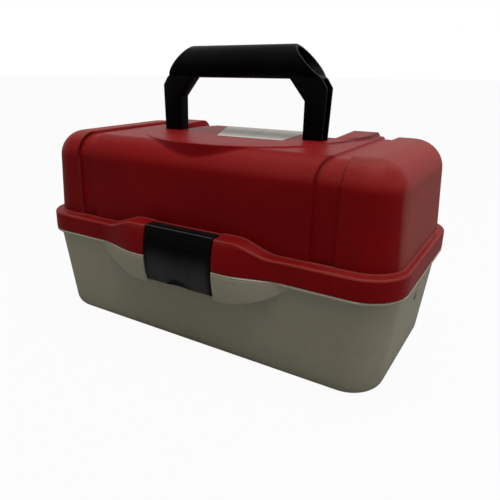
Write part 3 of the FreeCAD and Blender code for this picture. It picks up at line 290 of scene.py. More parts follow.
def mirrored(part):
    """The same part on the other side of the plane x = 0."""
    points, faces = part
    return points * np.array([-1.0, 1.0, 1.0]), [face[::-1] for face in faces]


def both_sides(part):
    """A part and its mirror image."""
    return [part, mirrored(part)]


def ease(t):
    """Smooth step: three times the square less twice the cube, level at 0 and at 1."""
    t = np.clip(t, 0.0, 1.0)
    return t * t * (3.0 - 2.0 * t)


def fade(value, start, end):
    """Smooth step from 0 where value is start to 1 where it is end."""
    return ease((value - start) / (end - start))


def ramp(value, start, end):
    """Straight step from 0 where value is start to 1 where it is end."""
    return np.clip((value - start) / (end - start), 0.0, 1.0)


def drop(radius, run):
    """How far a circle has fallen at a run from its top: r - sqrt(r^2 - run^2), and r beyond its side."""
    return radius - np.sqrt(np.maximum(radius * radius - run * run, 0.0))


def quarter(count):
    """Angles of a quarter turn, from 0 to a right angle."""
    return np.linspace(0.0, 0.5 * math.pi, count)


def circle(count):
    """Angles of a whole turn, without the last one, which is the first again."""
    return np.linspace(0.0, 2.0 * math.pi, count, endpoint=False)


def round_bar(radius, x0, x1, y, z):
    """A turned bar along X: circles round the axis through (y, z), with a quarter-round edge at both ends
    where the circles shrink by r(1 - cos) over a run of r(1 - sin)."""
    turn = quarter(4)[::-1]
    run = SMALL_EDGE * (1.0 - np.sin(turn))
    size = radius - SMALL_EDGE + SMALL_EDGE * np.cos(turn)
    along = np.concatenate([x0 + run, x1 - run[::-1]])[:, None]
    size = np.concatenate([size, size[::-1]])[:, None]
    angle = circle(32)
    return surface(along, y + size * np.cos(angle), z + size * np.sin(angle), wrap=True, caps=(0, -1))


def inset_loop(a, b, distance):
    """A closed polygon moved inwards: each corner goes along its bisector by distance over 1 + cos of the
    turn."""
    step_a, step_b = np.roll(a, -1) - a, np.roll(b, -1) - b
    size = np.hypot(step_a, step_b)
    normal_a, normal_b = -step_b / size, step_a / size
    before_a, before_b = np.roll(normal_a, 1), np.roll(normal_b, 1)
    scale = distance / (1.0 + normal_a * before_a + normal_b * before_b)
    return a + (normal_a + before_a) * scale, b + (normal_b + before_b) * scale


def slab(outline, start, end, axis, edge=SMALL_EDGE):
    """A polygon carried along X or Y, with rounded edges: its loops are drawn in by r(1 - sin) at a depth
    of r(1 - cos)."""
    a, b = np.array(outline, dtype=float).T
    if np.sum(a * np.roll(b, -1) - b * np.roll(a, -1)) < 0.0:
        a, b = a[::-1], b[::-1]
    turn = quarter(4)
    inset, depth = edge * (1.0 - np.sin(turn)), edge * (1.0 - np.cos(turn))
    along = np.concatenate([start + depth, end - depth[::-1]])[:, None]
    loops = np.array([inset_loop(a, b, distance) for distance in np.concatenate([inset, inset[::-1]])])
    side_a, side_b = loops[:, 0], loops[:, 1]
    order = (along, side_a, side_b) if axis == "x" else (side_a, along, side_b)
    return surface(*order, wrap=True, caps=(0, -1))


def block(y, z, half_x, edge=SMALL_EDGE):
    """A rounded bar with a rectangular section, across the middle: y and z are its lowest and highest."""
    return slab([(y[0], z[0]), (y[1], z[0]), (y[1], z[1]), (y[0], z[1])], -half_x, half_x, "x", edge)


def rim(outer, inner):
    """A strip between two rows of points."""
    return surface(*(np.stack([a, b]) for a, b in zip(outer, inner)))


def plate(face, back):
    """A thin plate from its two faces, each as grids of x, y and z, with strips round its four edges."""
    parts = [surface(*face), surface(*back)]
    for end in (0, -1):
        parts.append(rim([a[end] for a in face], [a[end] for a in back]))
        parts.append(rim([a[:, end] for a in face], [a[:, end] for a in back]))
    return parts


def make_piece(name, parts, body, nodes, finish):
    """One object from (points, faces) parts in mm: doubles merged, faces turned outwards, smooth up to an
    angle. It rides on a body, stands for the CAD nodes it is given and takes a material slot."""
    mesh = bpy.data.meshes.new(name)
    starts = np.cumsum([0] + [len(points) for points, _ in parts]).tolist()
    places = np.concatenate([points for points, _ in parts]) * MM
    faces = [[corner + start for corner in face] for start, part in zip(starts, parts) for face in part[1]]
    mesh.from_pydata(places.tolist(), [], faces)
    work = bmesh.new()
    work.from_mesh(mesh)
    bmesh.ops.remove_doubles(work, verts=work.verts, dist=0.004 * MM)
    bmesh.ops.dissolve_degenerate(work, edges=work.edges, dist=0.001 * MM)
    bmesh.ops.recalc_face_normals(work, faces=work.faces)
    work.to_mesh(mesh)
    work.free()
    mesh.shade_smooth()
    mesh.set_sharp_from_angle(angle=SHARP_ANGLE)
    mesh.materials.append(finish)
    piece = bpy.data.objects.new(name, mesh)
    bpy.context.scene.collection.objects.link(piece)
    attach(piece, body)
    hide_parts(*nodes)
    return piece


def store(piece, **arrays):
    """Keeps one number for each vertex under each name, as attributes."""
    for name, values in arrays.items():
        attribute = piece.data.attributes.new(name, "FLOAT", "POINT")
        attribute.data.foreach_set("value", np.ascontiguousarray(values, dtype=np.float32))


def read(items, name, width, kind=float):
    """One property of all vertices or edges, as so many rows."""
    values = np.empty(len(items) * width, dtype=kind)
    items.foreach_get(name, values)
    return values.reshape(-1, width).T


def vertex_arrays(piece):
    """Places in mm and normals of all vertices, each as three rows."""
    vertices = piece.data.vertices
    return read(vertices, "co", 3) / MM, read(vertices, "normal", 3)


def store_wear(piece):
    """Edge wear and crevices: how far a vertex's neighbours lie below its own tangent plane, on average over
    its edges. Below counts as a worn edge, above as a crevice, which the lid darkens as painted shade."""
    places, normals = vertex_arrays(piece)
    first, second = read(piece.data.edges, "vertices", 2, np.int32)
    step = places[:, second] - places[:, first]
    size = np.maximum(np.linalg.norm(step, axis=0), TINY)
    count = places.shape[1]
    fall, links = np.zeros(count), np.zeros(count)
    for end, sign in ((first, -1.0), (second, 1.0)):
        fall += np.bincount(end, sign * np.sum(normals[:, end] * step, axis=0) / size, count)
        links += np.bincount(end, minlength=count)
    fall /= np.maximum(links, 1.0)
    store(piece, edge=np.clip(fall, 0.0, 1.0), crevice=np.clip(-fall, 0.0, 1.0))


# ---------------------------------------------------------------- shader helpers
class Value:
    """A number in a node tree. Python's operators on it add Math nodes."""

    def __init__(self, tree, socket):
        self.tree, self.socket = tree, socket

    def worked(self, operation, *values):
        """A Math node on values and plain numbers, in the order given."""
        node = self.tree.nodes.new("ShaderNodeMath")
        node.operation = operation
        for place, value in zip(node.inputs, values):
            connect(self.tree, value, place)
        return Value(self.tree, node.outputs[0])

    def math(self, operation, *others):
        """A Math node whose first input is this value."""
        return self.worked(operation, self, *others)

    def __add__(self, other):
        return self.math("ADD", other)

    __radd__ = __add__

    def __mul__(self, other):
        return self.math("MULTIPLY", other)

    __rmul__ = __mul__

    def __sub__(self, other):
        return self.math("SUBTRACT", other)

    def __rsub__(self, other):
        return self.worked("SUBTRACT", other, self)

    def between(self, low, high):
        """0 below low, 1 above high, smooth in between."""
        node = self.tree.nodes.new("ShaderNodeMapRange")
        node.interpolation_type = "SMOOTHSTEP"
        connect(self.tree, self, node.inputs["Value"])
        node.inputs["From Min"].default_value = low
        node.inputs["From Max"].default_value = high
        return Value(self.tree, node.outputs["Result"])


def connect(tree, value, place):
    """Links a socket or a Value to an input, or writes a plain number, colour or vector into it."""
    if isinstance(value, Value):
        value = value.socket
    if isinstance(value, bpy.types.NodeSocket):
        tree.links.new(value, place)
    elif isinstance(value, (int, float)):
        place.default_value = value
    else:
        size = len(place.default_value)
        place.default_value = (list(value) + [1.0])[:size]


class Finish:
    """A material under construction: a Principled shader and what feeds it."""

    def __init__(self, name, **uniform):
        self.material = bpy.data.materials.new(name)
        self.material.use_nodes = True
        self.tree = self.material.node_tree
        self.tree.nodes.clear()
        self.shader = self.node("ShaderNodeBsdfPrincipled")
        self.feed(**uniform)
        self.output = self.node("ShaderNodeOutputMaterial", Surface=self.shader.outputs[0])
        self.place = self.node("ShaderNodeTexCoord").outputs["Object"]

    def node(self, kind, settings=None, **sockets):
        """Adds a node: its settings first, then the values or links of its sockets."""
        made = self.tree.nodes.new(kind)
        for name, value in (settings or {}).items():
            setattr(made, name, value)
        for name, value in sockets.items():
            connect(self.tree, value, made.inputs[name.replace("_", " ")])
        return made

    def noise(self, scale, detail=2.0, roughness=0.5, place=None):
        """Noise of the given number of lumps to the metre, 0 to 1."""
        made = self.node("ShaderNodeTexNoise", Vector=place or self.place, Scale=scale, Detail=detail,
                         Roughness=roughness)
        return Value(self.tree, made.outputs[0])

    def stretched(self, x, y, z, turn=(0.0, 0.0, 0.0)):
        """The object's coordinates, turned and scaled along each axis."""
        return self.node("ShaderNodeMapping", Vector=self.place, Rotation=turn, Scale=(x, y, z)).outputs[0]

    def attribute(self, name):
        """The number that a piece keeps under this name at each vertex."""
        return Value(self.tree, self.node("ShaderNodeAttribute", {"attribute_name": name}).outputs["Fac"])

    def axis(self, index):
        """One coordinate of the object in metres: 0 for X, 1 for Y, 2 for Z."""
        return Value(self.tree, self.node("ShaderNodeSeparateXYZ", Vector=self.place).outputs[index])

    def mix(self, factor, first, second):
        """A colour between two, by factor."""
        made = self.node("ShaderNodeMix", {"data_type": "RGBA"})
        for key, value in ((0, factor), (6, first), (7, second)):
            connect(self.tree, value, made.inputs[key])
        return made.outputs[2]

    def bump(self, height, distance, strength, **below):
        """A bump of the given height in metres, laid over another one's Normal if that is given."""
        made = self.node("ShaderNodeBump", Height=height, Distance=distance, Strength=strength, **below)
        return made.outputs[0]

    def grained(self, scale, distance, strength, waves=None):
        """Fine moulded grain, under slow waves where their scale is given: the grain's noise and the
        normal."""
        grain = self.noise(scale, 2.0, 0.6)
        normal = self.bump(grain, distance, strength)
        if waves is not None:
            normal = self.bump(self.noise(waves), 0.0004, 0.25, Normal=normal)
        return grain, normal

    def feed(self, **sockets):
        """Gives the shader's sockets their values or links, and gives the material back."""
        for name, value in sockets.items():
            connect(self.tree, value, self.shader.inputs[name.replace("_", " ")])
        return self.material


def toned(colour, factor):
    """A colour made darker or paler, up to full strength."""
    return [min(1.0, part * factor) for part in colour]


# ---------------------------------------------------------------- finishes
def scratches(finish, scale, turn, share):
    """Thin straight marks: stretched noise kept only where it is near its middle value, in scattered
    patches."""
    lines = finish.noise(scale, 1.0, 0.5, finish.stretched(1.0, 0.03, 0.03, turn))
    patch = finish.noise(scale * 0.12, 2.0).between(1.0 - share, 1.0 - share + 0.12)
    thin = 1.0 - ((lines - 0.5) * 60.0).math("ABSOLUTE")
    return thin.math("MAXIMUM", 0.0) * patch


def lid_plastic(settings):
    """Moulded red plastic: fine grain, cloudy tone, a pale dusty film on what faces up, scuffed and worn
    edges, with painted sheen on the end walls and shoulder, painted highlight lines along the lip and
    painted shade in creases, along the deck's foot and at the bands' edges.
    """
    finish = Finish("lid_red", Specular_IOR_Level=0.06)
    skin = settings.skin
    cloud = finish.noise(14.0, 4.0, 0.6)
    # the dusty film, partly painted sheen on the upright ends and on the shoulder below the deck
    dust = finish.attribute("dust")
    film = dust * (0.45 + cloud * 0.75) * (0.35 + finish.noise(850.0, 3.0, 0.8) * 1.3)
    spots = finish.noise(950.0, 3.0, 0.7).between(0.61, 0.70) * (0.05 + dust * 1.2)
    marks = scratches(finish, 240.0, (0.3, 0.2, 0.7), 0.42) * (0.05 + dust * 0.9)
    worn = finish.attribute("edge").between(0.10, 0.55) * finish.noise(120.0, 4.0, 0.7).between(0.35, 0.75)
    # painted shade: darkening in creases, along the deck's foot and at the bands' edges, where shade falls
    dirt = (finish.attribute("crevice").between(0.06, 0.45) * 0.75).math("MAXIMUM", finish.attribute("dirt"))
    # painted highlight lines along the lip's rounded edges
    ridge = finish.attribute("ridge") * (0.10 + cloud * 0.35)
    pale = (film * 0.75 + spots * 0.6 + marks + worn * 0.16 + ridge).math("MINIMUM", 1.0)
    base = finish.mix(cloud.between(0.3, 0.75), toned(skin, 0.82), skin)
    # painted sheen: the shoulder below the deck made a paler red, as if lit from above
    base = finish.mix(finish.attribute("shoulder") * 0.35, base, toned(skin, 1.4))
    base = finish.mix(pale, base, settings.dust)
    base = finish.mix(dirt, base, toned(skin, 0.30))
    grain, normal = finish.grained(1900.0, 0.00005, 0.6, waves=60.0)
    rough = 0.40 + cloud * 0.10 + pale * 0.28 + (grain - 0.5) * 0.12
    return finish.feed(Base_Color=base, Roughness=rough, Normal=normal)


def tub_plastic(settings):
    """Moulded beige plastic: fine grain, cloudy tone, a darker film low down and at the edges, small
    specks; painted shade on the wall round the proud lens, a painted highlight along the flange's top edge
    and a painted lighter left end."""
    finish = Finish("tub_beige", Specular_IOR_Level=0.14)
    skin = settings.skin
    cloud = finish.noise(11.0, 4.0, 0.6)
    specks = finish.noise(1100.0, 2.0, 0.6).between(0.70, 0.78)
    low = 1.0 - finish.axis(2).between(0.0, 0.03)
    # the lens's rise from the wall: less soiling there, and no painted shade
    rubbed = finish.attribute("rubbed")
    soil_and_shade = finish.noise(45.0, 5.0, 0.65).between(0.45, 0.85) * 0.4 + low * 0.25 + specks * 0.35
    # painted shade: the tapered wall outside the lens made darker, the proud lens left lighter
    soil_and_shade = soil_and_shade * (1.0 - rubbed * 0.6) + (1.0 - rubbed) * 0.30
    marks = scratches(finish, 210.0, (0.1, 1.2, 0.4), 0.4) * 0.12
    # rim: a painted highlight along the flange's top edge; the rest is edge wear
    worn = finish.attribute("rim") * 0.9 + finish.attribute("edge").between(0.08, 0.4) * 0.5
    # painted light: the left end made lighter
    worn += (1.0 - finish.axis(0).between(-0.15, 0.02)) * 0.22
    base = finish.mix(cloud.between(0.25, 0.8), toned(skin, 0.9), skin)
    base = finish.mix(soil_and_shade.math("MINIMUM", 1.0), base, settings.soil_and_shade)
    base = finish.mix((marks + worn).math("MINIMUM", 1.0), base, toned(skin, 1.6))
    grain, normal = finish.grained(1700.0, 0.00005, 0.6, waves=50.0)
    rough = 0.46 + cloud * 0.10 + (grain - 0.5) * 0.12
    return finish.feed(Base_Color=base, Roughness=rough, Normal=normal)


def black_plastic(name, skin, roughness, scuff, shine, reflection_top=None):
    """Black moulded plastic: fine grain, a faint dusty film, thin grey scuffs and slightly polished edges.
    Below the given height, a painted grey reflection of the floor in upright streaks, held back by painted
    shade at the scoop and the side borders, and a painted highlight along the top front edge."""
    finish = Finish(name, Specular_IOR_Level=shine)
    cloud = finish.noise(25.0, 4.0, 0.6)
    edge = finish.attribute("edge")
    marks = scratches(finish, 320.0, (0.5, 0.1, 0.9), 0.45)
    film = (cloud.between(0.45, 0.8) * 0.25 + marks * 0.6 + edge.between(0.15, 0.6) * 0.35) * scuff
    # below the given height: a painted grey reflection of the floor in upright streaks, held back by painted
    # shade at the scoop and side borders, with a painted highlight along the top front edge
    if reflection_top is not None:
        streaks = finish.noise(90.0, 3.0, 0.6, finish.stretched(1.0, 1.0, 0.12))
        low = 1.0 - finish.axis(2).between(reflection_top - 0.016, reflection_top + 0.008)
        film += low * (0.34 + streaks * 0.55) * (1.0 - finish.attribute("clean") * 0.85)
        film += finish.attribute("ridge") * 0.8
    base = finish.mix(film.math("MINIMUM", 1.0), skin, [0.06 + v for v in skin])
    grain, normal = finish.grained(2300.0, 0.00004, 0.5)
    rough = roughness + cloud * 0.12 + (grain - 0.5) * 0.1
    return finish.feed(Base_Color=base, Roughness=rough, Normal=normal)


def label_paper(settings):
    """Matt paper with faint ruled lines, a paler strip along its front and yellowed stains."""
    finish = Finish("label_paper", Roughness=0.7, IOR=1.45)
    along, across = finish.attribute("along"), finish.attribute("across")
    lines = 1.0 - (across * 9.0).math("FRACT").between(0.05, 0.14)
    column = 1.0 - ((along - 0.5) * 40.0).math("ABSOLUTE").between(0.3, 1.0)
    ruled = across.between(0.16, 0.2)
    fibre = finish.noise(700.0, 4.0, 0.7)
    stain = finish.noise(38.0, 4.0, 0.6).between(0.45, 0.8)
    strip = 1.0 - across.between(0.12, 0.15)
    ink = ((lines * ruled).math("MAXIMUM", column * ruled) * fibre.between(0.3, 0.6)) * 0.75
    base = finish.mix(strip, settings.paper, toned(settings.paper, 1.35))
    base = finish.mix(ink, base, settings.ink)
    base = finish.mix(stain * 0.5, base, (0.36, 0.33, 0.26))
    normal = finish.bump(fibre, 0.00008, 0.5)
    return finish.feed(Base_Color=base, Roughness=0.62 + fibre * 0.2, Normal=normal)


def plated_steel(name, tint):
    """Zinc-plated steel: cloudy spangle, fine rolling marks and a little grime."""
    finish = Finish(name, Metallic=1.0, Roughness=0.35)
    spangle = finish.noise(420.0, 3.0, 0.6)
    grime = finish.noise(90.0, 4.0, 0.7).between(0.5, 0.85)
    rolled = finish.noise(900.0, 1.0, 0.5, finish.stretched(1.0, 0.06, 1.0))
    base = finish.mix(spangle.between(0.3, 0.7), toned(tint, 0.78), tint)
    base = finish.mix(grime * 0.6, base, (0.11, 0.10, 0.085))
    normal = finish.bump(rolled, 0.00003, 0.6)
    return finish.feed(Base_Color=base, Roughness=0.26 + spangle * 0.16 + grime * 0.3, Normal=normal)


def inner_plastic(name, tint, roughness):
    """Plain moulded plastic of the inner pieces: fine grain, faint clouds and rub marks."""
    finish = Finish(name, Roughness=roughness, IOR=1.47)
    cloud = finish.noise(30.0, 4.0, 0.6)
    marks = scratches(finish, 260.0, (0.2, 0.4, 1.1), 0.4) * 0.4
    base = finish.mix(cloud.between(0.3, 0.8), toned(tint, 0.88), tint)
    base = finish.mix(marks, base, toned(tint, 1.5))
    _, normal = finish.grained(2100.0, 0.00004, 0.5)
    return finish.feed(Base_Color=base, Roughness=roughness - 0.05 + cloud * 0.14, Normal=normal)


# ---------------------------------------------------------------- rings round the box
class Ring:
    """Stations once round a rounded rectangle: front, right end, rear and left end, with the corners
    between. side is the distance from the middle along the front, and far beyond everything on the other
    sides."""

    def __init__(self, front_x, end_y, corner_steps):
        far = BEYOND
        turn = quarter(corner_steps)
        straight = np.zeros(1)
        right = 0.5 * math.pi
        runs = [
            (front_x, -far, straight - right), (far, -far, turn - right),
            (far, end_y, straight), (far, far, turn),
            (REAR_STATIONS[::-1], far, straight + right), (-far, far, turn + right),
            (-far, end_y[::-1], straight + math.pi), (-far, -far, turn + math.pi),
        ]
        runs = [np.broadcast_arrays(*run) for run in runs]
        self.x, self.y, angle = (np.concatenate(column) for column in zip(*runs))
        self.cos, self.sin = np.cos(angle), np.sin(angle)
        self.front = (self.y == -far) & (np.abs(self.x) < far)
        self.side = np.where(self.front, np.abs(self.x), far)

    def row(self, outline, z, out=0.0):
        """One closed row: the corner centres plus (corner radius + out) along each station's outward
        direction."""
        half_x, half_y, corner = outline
        x = np.clip(self.x, corner - half_x, half_x - corner) + (corner + out) * self.cos
        y = np.clip(self.y, corner - half_y, half_y - corner) + (corner + out) * self.sin
        return np.stack(np.broadcast_arrays(x, y, z))


def shell(rows, closed=False):
    """A surface through closed rows; closed joins the last row to the first, otherwise flat faces cap
    both."""
    grid = np.stack(rows + rows[:1] if closed else rows, 1)
    return surface(*grid, wrap=True, caps=() if closed else (0, -1))


def grown(outline, amount):
    """An outline moved outwards, with its half-length, half-depth and corner radius all larger."""
    return tuple(value + amount for value in outline)


def barrel_y(z):
    """Front of the bulge's round bar at height z."""
    return BULGE_FRONT_Y + drop(BULGE_RADIUS, z - BULGE_MID_Z)


def bulge_stations():
    """Places along the front, closest together where the latch's pocket and the bulge begin."""
    side = np.concatenate([np.arange(4.0, 30.0, 4.0), [30.5, POCKET_X - 0.01, POCKET_X + 0.01, 33.5, 34.6],
                           np.arange(36.0, 103.0, 2.0), [106.0, 112.0, 120.0]])
    return np.concatenate([-side[::-1], [0.0], side])


# ---------------------------------------------------------------- lid
def dome_half_x(z):
    """Half-length of the dome at height z: its ends lean in evenly from the lip to the top."""
    return DOME_FOOT_HALF_X + (DOME_TOP_HALF_X - DOME_FOOT_HALF_X) * (z - LIP_TOP) / (LID_TOP - LIP_TOP)


def dome_tilt(y):
    """Sine and cosine of the dome's tilt: 0 and 1 on the flat top, 1 and 0 at the front and rear walls."""
    lean = ramp(np.abs(y), FLAT_HALF_Y, DOME_HALF_Y)
    return lean, np.sqrt(1.0 - lean * lean)


def deck_side_x(y):
    """Where the deck's side runs: it spreads from the tip by 1 - (1 - t)^p of the way, where t is the share
    of the run from the tip to where the deck has its full width."""
    left = ramp(y, DECK_FULL_Y, DECK_TIP_Y)
    return DECK_TIP_X + (DECK_REAR_HALF_X - DECK_TIP_X) * (1.0 - left ** DECK_SIDE_POWER)


def deck_inside(x, y):
    """Distance inside the deck's outline in plan; negative outside it."""
    x = np.abs(x)
    left = ramp(y, DECK_FULL_Y, DECK_TIP_Y)
    spread = (DECK_REAR_HALF_X - DECK_TIP_X) / (DECK_FULL_Y - DECK_TIP_Y)
    lean = spread * DECK_SIDE_POWER * left ** (DECK_SIDE_POWER - 1.0)
    line = (deck_side_x(y) - x) / np.hypot(1.0, np.where(y > DECK_TIP_Y, lean, 0.0))
    arc = np.where(y < DECK_ARC_Y, DECK_RADIUS - np.hypot(x, y - DECK_ARC_Y), line)
    rear = np.where(x < RECESS_HALF_X + 0.3, BEYOND, DECK_REAR_Y - y)
    return np.minimum(np.minimum(line, arc), rear)


def deck_cover(x, y):
    """Share of the deck's height at a place in plan, from the distance inside its outline: a crisp foot in
    front and a softer one at the sides, a steep wall and a small round at the top edge."""
    inside = deck_inside(x, y)
    foot = DECK_FRONT_FOOT + (DECK_SIDE_FOOT - DECK_FRONT_FOOT) * fade(y, DECK_TIP_Y - 8.0, DECK_TIP_Y + 8.0)
    below = np.interp(-inside / foot, FOOT_SHARES, FOOT_HEIGHTS)
    above = np.interp(inside, CREST, CREST_HEIGHTS)
    return np.where(inside > 0.0, above, below)


def deck_height(x, y, rear_z):
    """Top of the deck: level, with a step down to the recess at the rear, and ramped up to plateaus outside
    whose rear end falls on a quarter round. rear_z is how high the rear shoulder stands above its foot."""
    floor = DECK_TOP + (RECESS_FLOOR - DECK_TOP) * ramp(y, *RECESS_SLOPE)
    run_out = (LID_TOP - RECESS_FLOOR) * fade(y, RECESS_END_Y, DOME_HALF_Y)
    floor_rear = RECESS_FLOOR - DOME_ROUND + rear_z + run_out
    floor = np.where(y > FLAT_HALF_Y, floor_rear, floor)
    past = np.clip(y - PLATEAU_RAMP[1], 0.0, PLATEAU_ROUND)
    plateau = DECK_TOP + (PLATEAU_TOP - DECK_TOP) * ramp(y, *PLATEAU_RAMP) - drop(PLATEAU_ROUND, past)
    return floor + (plateau - floor) * fade(np.abs(x), RECESS_HALF_X - 0.2, RECESS_HALF_X + 0.4)


def well_height(y):
    """Floor of a handle well: round below the pivot, then a straight slope up to the rear; no well in
    front."""
    low_y = HANDLE_Y + WELL_RADIUS * math.sin(WELL_SLOPE)
    low_z = PIVOT_Z - WELL_RADIUS * math.cos(WELL_SLOPE)
    bowl = PIVOT_Z - WELL_RADIUS + drop(WELL_RADIUS, y - HANDLE_Y)
    height = np.where(y < low_y, bowl, low_z + (y - low_y) * math.tan(WELL_SLOPE))
    return np.where(y < HANDLE_Y - WELL_RADIUS, BEYOND, height)


def well_flare(y):
    """How far a well's inner wall has moved inwards."""
    return WELL_FLARE * fade(y, *WELL_FLARE_Y)


def groove_swing(y):
    """How far the bands' inner edges have swung inwards, from the flat top down the front shoulder."""
    return GROOVE_SWING * fade(-y, FLAT_HALF_Y, DOME_HALF_Y)


def groove_depth(x, y, settings):
    """Depth of the bands: a step down from the middle and a narrow crisp step up to the end caps."""
    inner, outer = settings.inner_edge / MM, settings.outer_edge / MM
    start = GROOVE[0] - groove_swing(y)
    down = fade(np.abs(x), start, start + inner)
    up = fade(np.abs(x), GROOVE[1] - 0.5 * outer, GROOVE[1] + 0.5 * outer)
    return settings.groove_depth / MM * (down - up)


def lid_columns():
    """Columns of the right half: fixed ones, those between the wells and the grooves as functions of y, and
    those across the grooves."""
    fixed = np.concatenate([np.arange(0.0, 49.0, 4.0), [50.8, 53.6, 56.4, 57.0, 58.4],
                            WELL_X[0] + WELL_STEPS, [60.5, 64.0, 68.0, 72.0, 76.0, 77.1],
                            [WELL_X[1] - 0.15, DECK_TIP_X]])
    near = [(0.3, 0.1), (1.6, 0.35), (2.3, 0.5), (2.45, 0.54), (2.65, 0.58), (2.9, 0.62), (3.6, 0.68),
            (BEYOND, 0.82)]
    edge = [-0.8, -0.5, -0.28, -0.12, 0.0, 0.22, 0.56, 1.0, 1.54, 2.2, 3.2]
    spread = [0.12, 0.28, 0.44, 0.6, 0.76, 0.88]
    inner = GROOVE[0] + np.array([-1.0, -0.1, 0.3, 0.7, 1.0, 1.3, 1.7, 2.1, 4.4])
    outer = GROOVE[1] + np.array([-0.5, -0.35, -0.2, -0.08, 0.08, 0.2, 0.35, 0.6, 1.4, 3.5, 7.0])
    groove = np.concatenate([inner, [113.0, 116.0, 118.2], outer])
    return fixed, near, edge, spread, groove


def lid_rows(x):
    """Rows front to rear, as (y, wall height or 0): the front wall, the shoulder up to the deck's edge, the
    deck's front wall, the deck with its wells and recess, the rear shoulder and the rear wall."""
    x = np.minimum(np.abs(x), DECK_TIP_X)[None, :]
    reach = np.sqrt(DECK_RADIUS ** 2 - x * x)
    edge_y, stretch = DECK_ARC_Y - reach, DECK_RADIUS / reach
    foot_y = edge_y - DECK_FRONT_FOOT * stretch
    arc_y = np.minimum(foot_y, -FLAT_HALF_Y)
    turn = np.arccos(np.clip((-FLAT_HALF_Y - arc_y) / DOME_ROUND, 0.0, 1.0))
    step = np.linspace(0.0, 1.0, len(REAR_TURN))[1:, None]
    shoulder = -FLAT_HALF_Y - DOME_ROUND * np.cos(turn * step)
    flat = arc_y + (foot_y - arc_y) * np.linspace(0.0, 1.0, 9)[1:, None]
    crest = np.concatenate([-DECK_FRONT_FOOT * FOOT_SHARES[-2::-1], CREST[1:]])
    crest = edge_y + crest[:, None] * stretch
    to_well = crest[-1:] + (WELL_FRONT_Y - crest[-1:]) * np.linspace(0.0, 1.0, 12)[1:, None]
    bowl = HANDLE_Y - WELL_RADIUS * np.cos(np.radians([0.01, 7, 16, 26, 38, 50, 62, 76, 90]))
    rear = FLAT_HALF_Y + DOME_ROUND * np.sin(REAR_TURN)
    rest = np.concatenate([[WELL_FRONT_Y + 0.5], bowl, DECK_ROWS, rear])
    wall = WALL_ROWS[:, None]
    groups = [np.full_like(wall, -DOME_HALF_Y), shoulder, flat, crest, to_well, rest[:, None],
              np.full_like(wall[1:], DOME_HALF_Y)]
    y = np.concatenate([group + 0.0 * x for group in groups])
    height = np.zeros_like(y)
    height[:len(wall)] = wall
    height[len(y) - len(wall) + 1:] = wall[-2::-1]
    return y, height


def lid_grid():
    """x, y and wall height of the lid's main grid, between the two end caps' corners."""
    fixed, near, edge, spread, groove = lid_columns()
    count = len(near) + len(edge) + len(spread) + len(groove) + 1
    y, height = lid_rows(np.concatenate([fixed, np.full(count, DECK_TIP_X)]))
    side_x = deck_side_x(y[:, len(fixed):len(fixed) + 1])
    gap = side_x - DECK_TIP_X
    follow = np.interp(fixed, [48.0, 56.4, 60.5, 64.0], [0.0, 1.0, 1.0, 0.0])
    columns = [fixed - well_flare(y[:, :1]) * follow]
    columns += [DECK_TIP_X + np.minimum(most, share * gap) for most, share in near]
    columns += [side_x + (w * np.clip(gap / 4.0, 0.0, 1.0) if w < 0.0 else w) for w in edge]
    outer = columns[-1]
    groove = groove - groove_swing(y[:, -1:]) * fade(groove, 116.0, 107.7)
    columns += [outer + (groove[:, :1] - outer) * share for share in spread]
    columns.append(groove)
    _, rise = dome_tilt(y[:, -1:])
    level = np.where(height[:, -1:] > 0.0, height[:, -1:], WALL_TOP + DOME_ROUND * rise)
    columns.append(dome_half_x(level) - DOME_CORNER)
    x = np.concatenate(columns, 1)
    return [np.concatenate([sign * a[:, :0:-1], a], 1) for sign, a in ((-1.0, x), (1.0, y), (1.0, height))]


def dome_base(x, y, height, sink, settings):
    """The dome's surface, moved inwards along its normal by sink plus the bands' depth; also the normal's
    rise."""
    lean, rise = dome_tilt(y)
    z = np.where(height > 0.0, height, WALL_TOP + DOME_ROUND * rise)
    depth = sink + groove_depth(x, y, settings)
    return y - np.sign(y) * lean * depth, z - rise * depth, rise


def soft_least(a, b, blend):
    """The smaller of two values, rounded where they meet."""
    return 0.5 * (a + b - np.sqrt((a - b) ** 2 + blend * blend))


def lid_outside(x, y, height, settings):
    """Outer face: the dome, slightly lower in its middle, with the deck raised on it and the wells cut
    in."""
    out_y, z, rise = dome_base(x, y, height, 0.0, settings)
    top = height == 0.0
    z = np.where(top & (np.abs(x) < CENTRE_HALF_X), soft_least(z, CENTRE_TOP, CENTRE_BLEND), z)
    cover = np.where(top, deck_cover(x, y), 0.0)
    z = z + (deck_height(x, y, DOME_ROUND * rise) - z) * cover
    room = np.abs(x) - WELL_SHIFT * fade(y, *WELL_SHIFT_Y) - WELL_X[1]
    mask = np.interp(room, [-7.5, -0.15, 0.0, 0.3], [1.0, 1.0, 0.05, 0.0])
    mask = mask * np.interp(np.abs(x) + well_flare(y) - WELL_X[0], WELL_STEPS, [0.0, 0.05, 1.0])
    z = z - np.maximum(z - well_height(y), 0.0) * mask * top
    return x, out_y, z


def lid_inside(x, y, height, settings):
    """Inner face: the dome drawn in by the wall, a flat roof under the deck and boxes round the wells."""
    in_y, z, _ = dome_base(x, y, height, LID_WALL, settings)
    top = height == 0.0
    roof = RECESS_FLOOR - LID_WALL + sum(rise * fade(np.abs(x), *run) for rise, run in ROOF_STEPS)
    z = np.where(top, np.minimum(z, roof), z)
    low, high = WELL_BOX_X
    mask = 1.0 - ramp(np.abs(x), high, high + 0.8)
    mask = mask * ramp(np.abs(x) + well_flare(y), low - 0.6, low)
    z = z - np.maximum(z - (well_height(y) - LID_WALL), 0.0) * mask * top
    return x, in_y, z


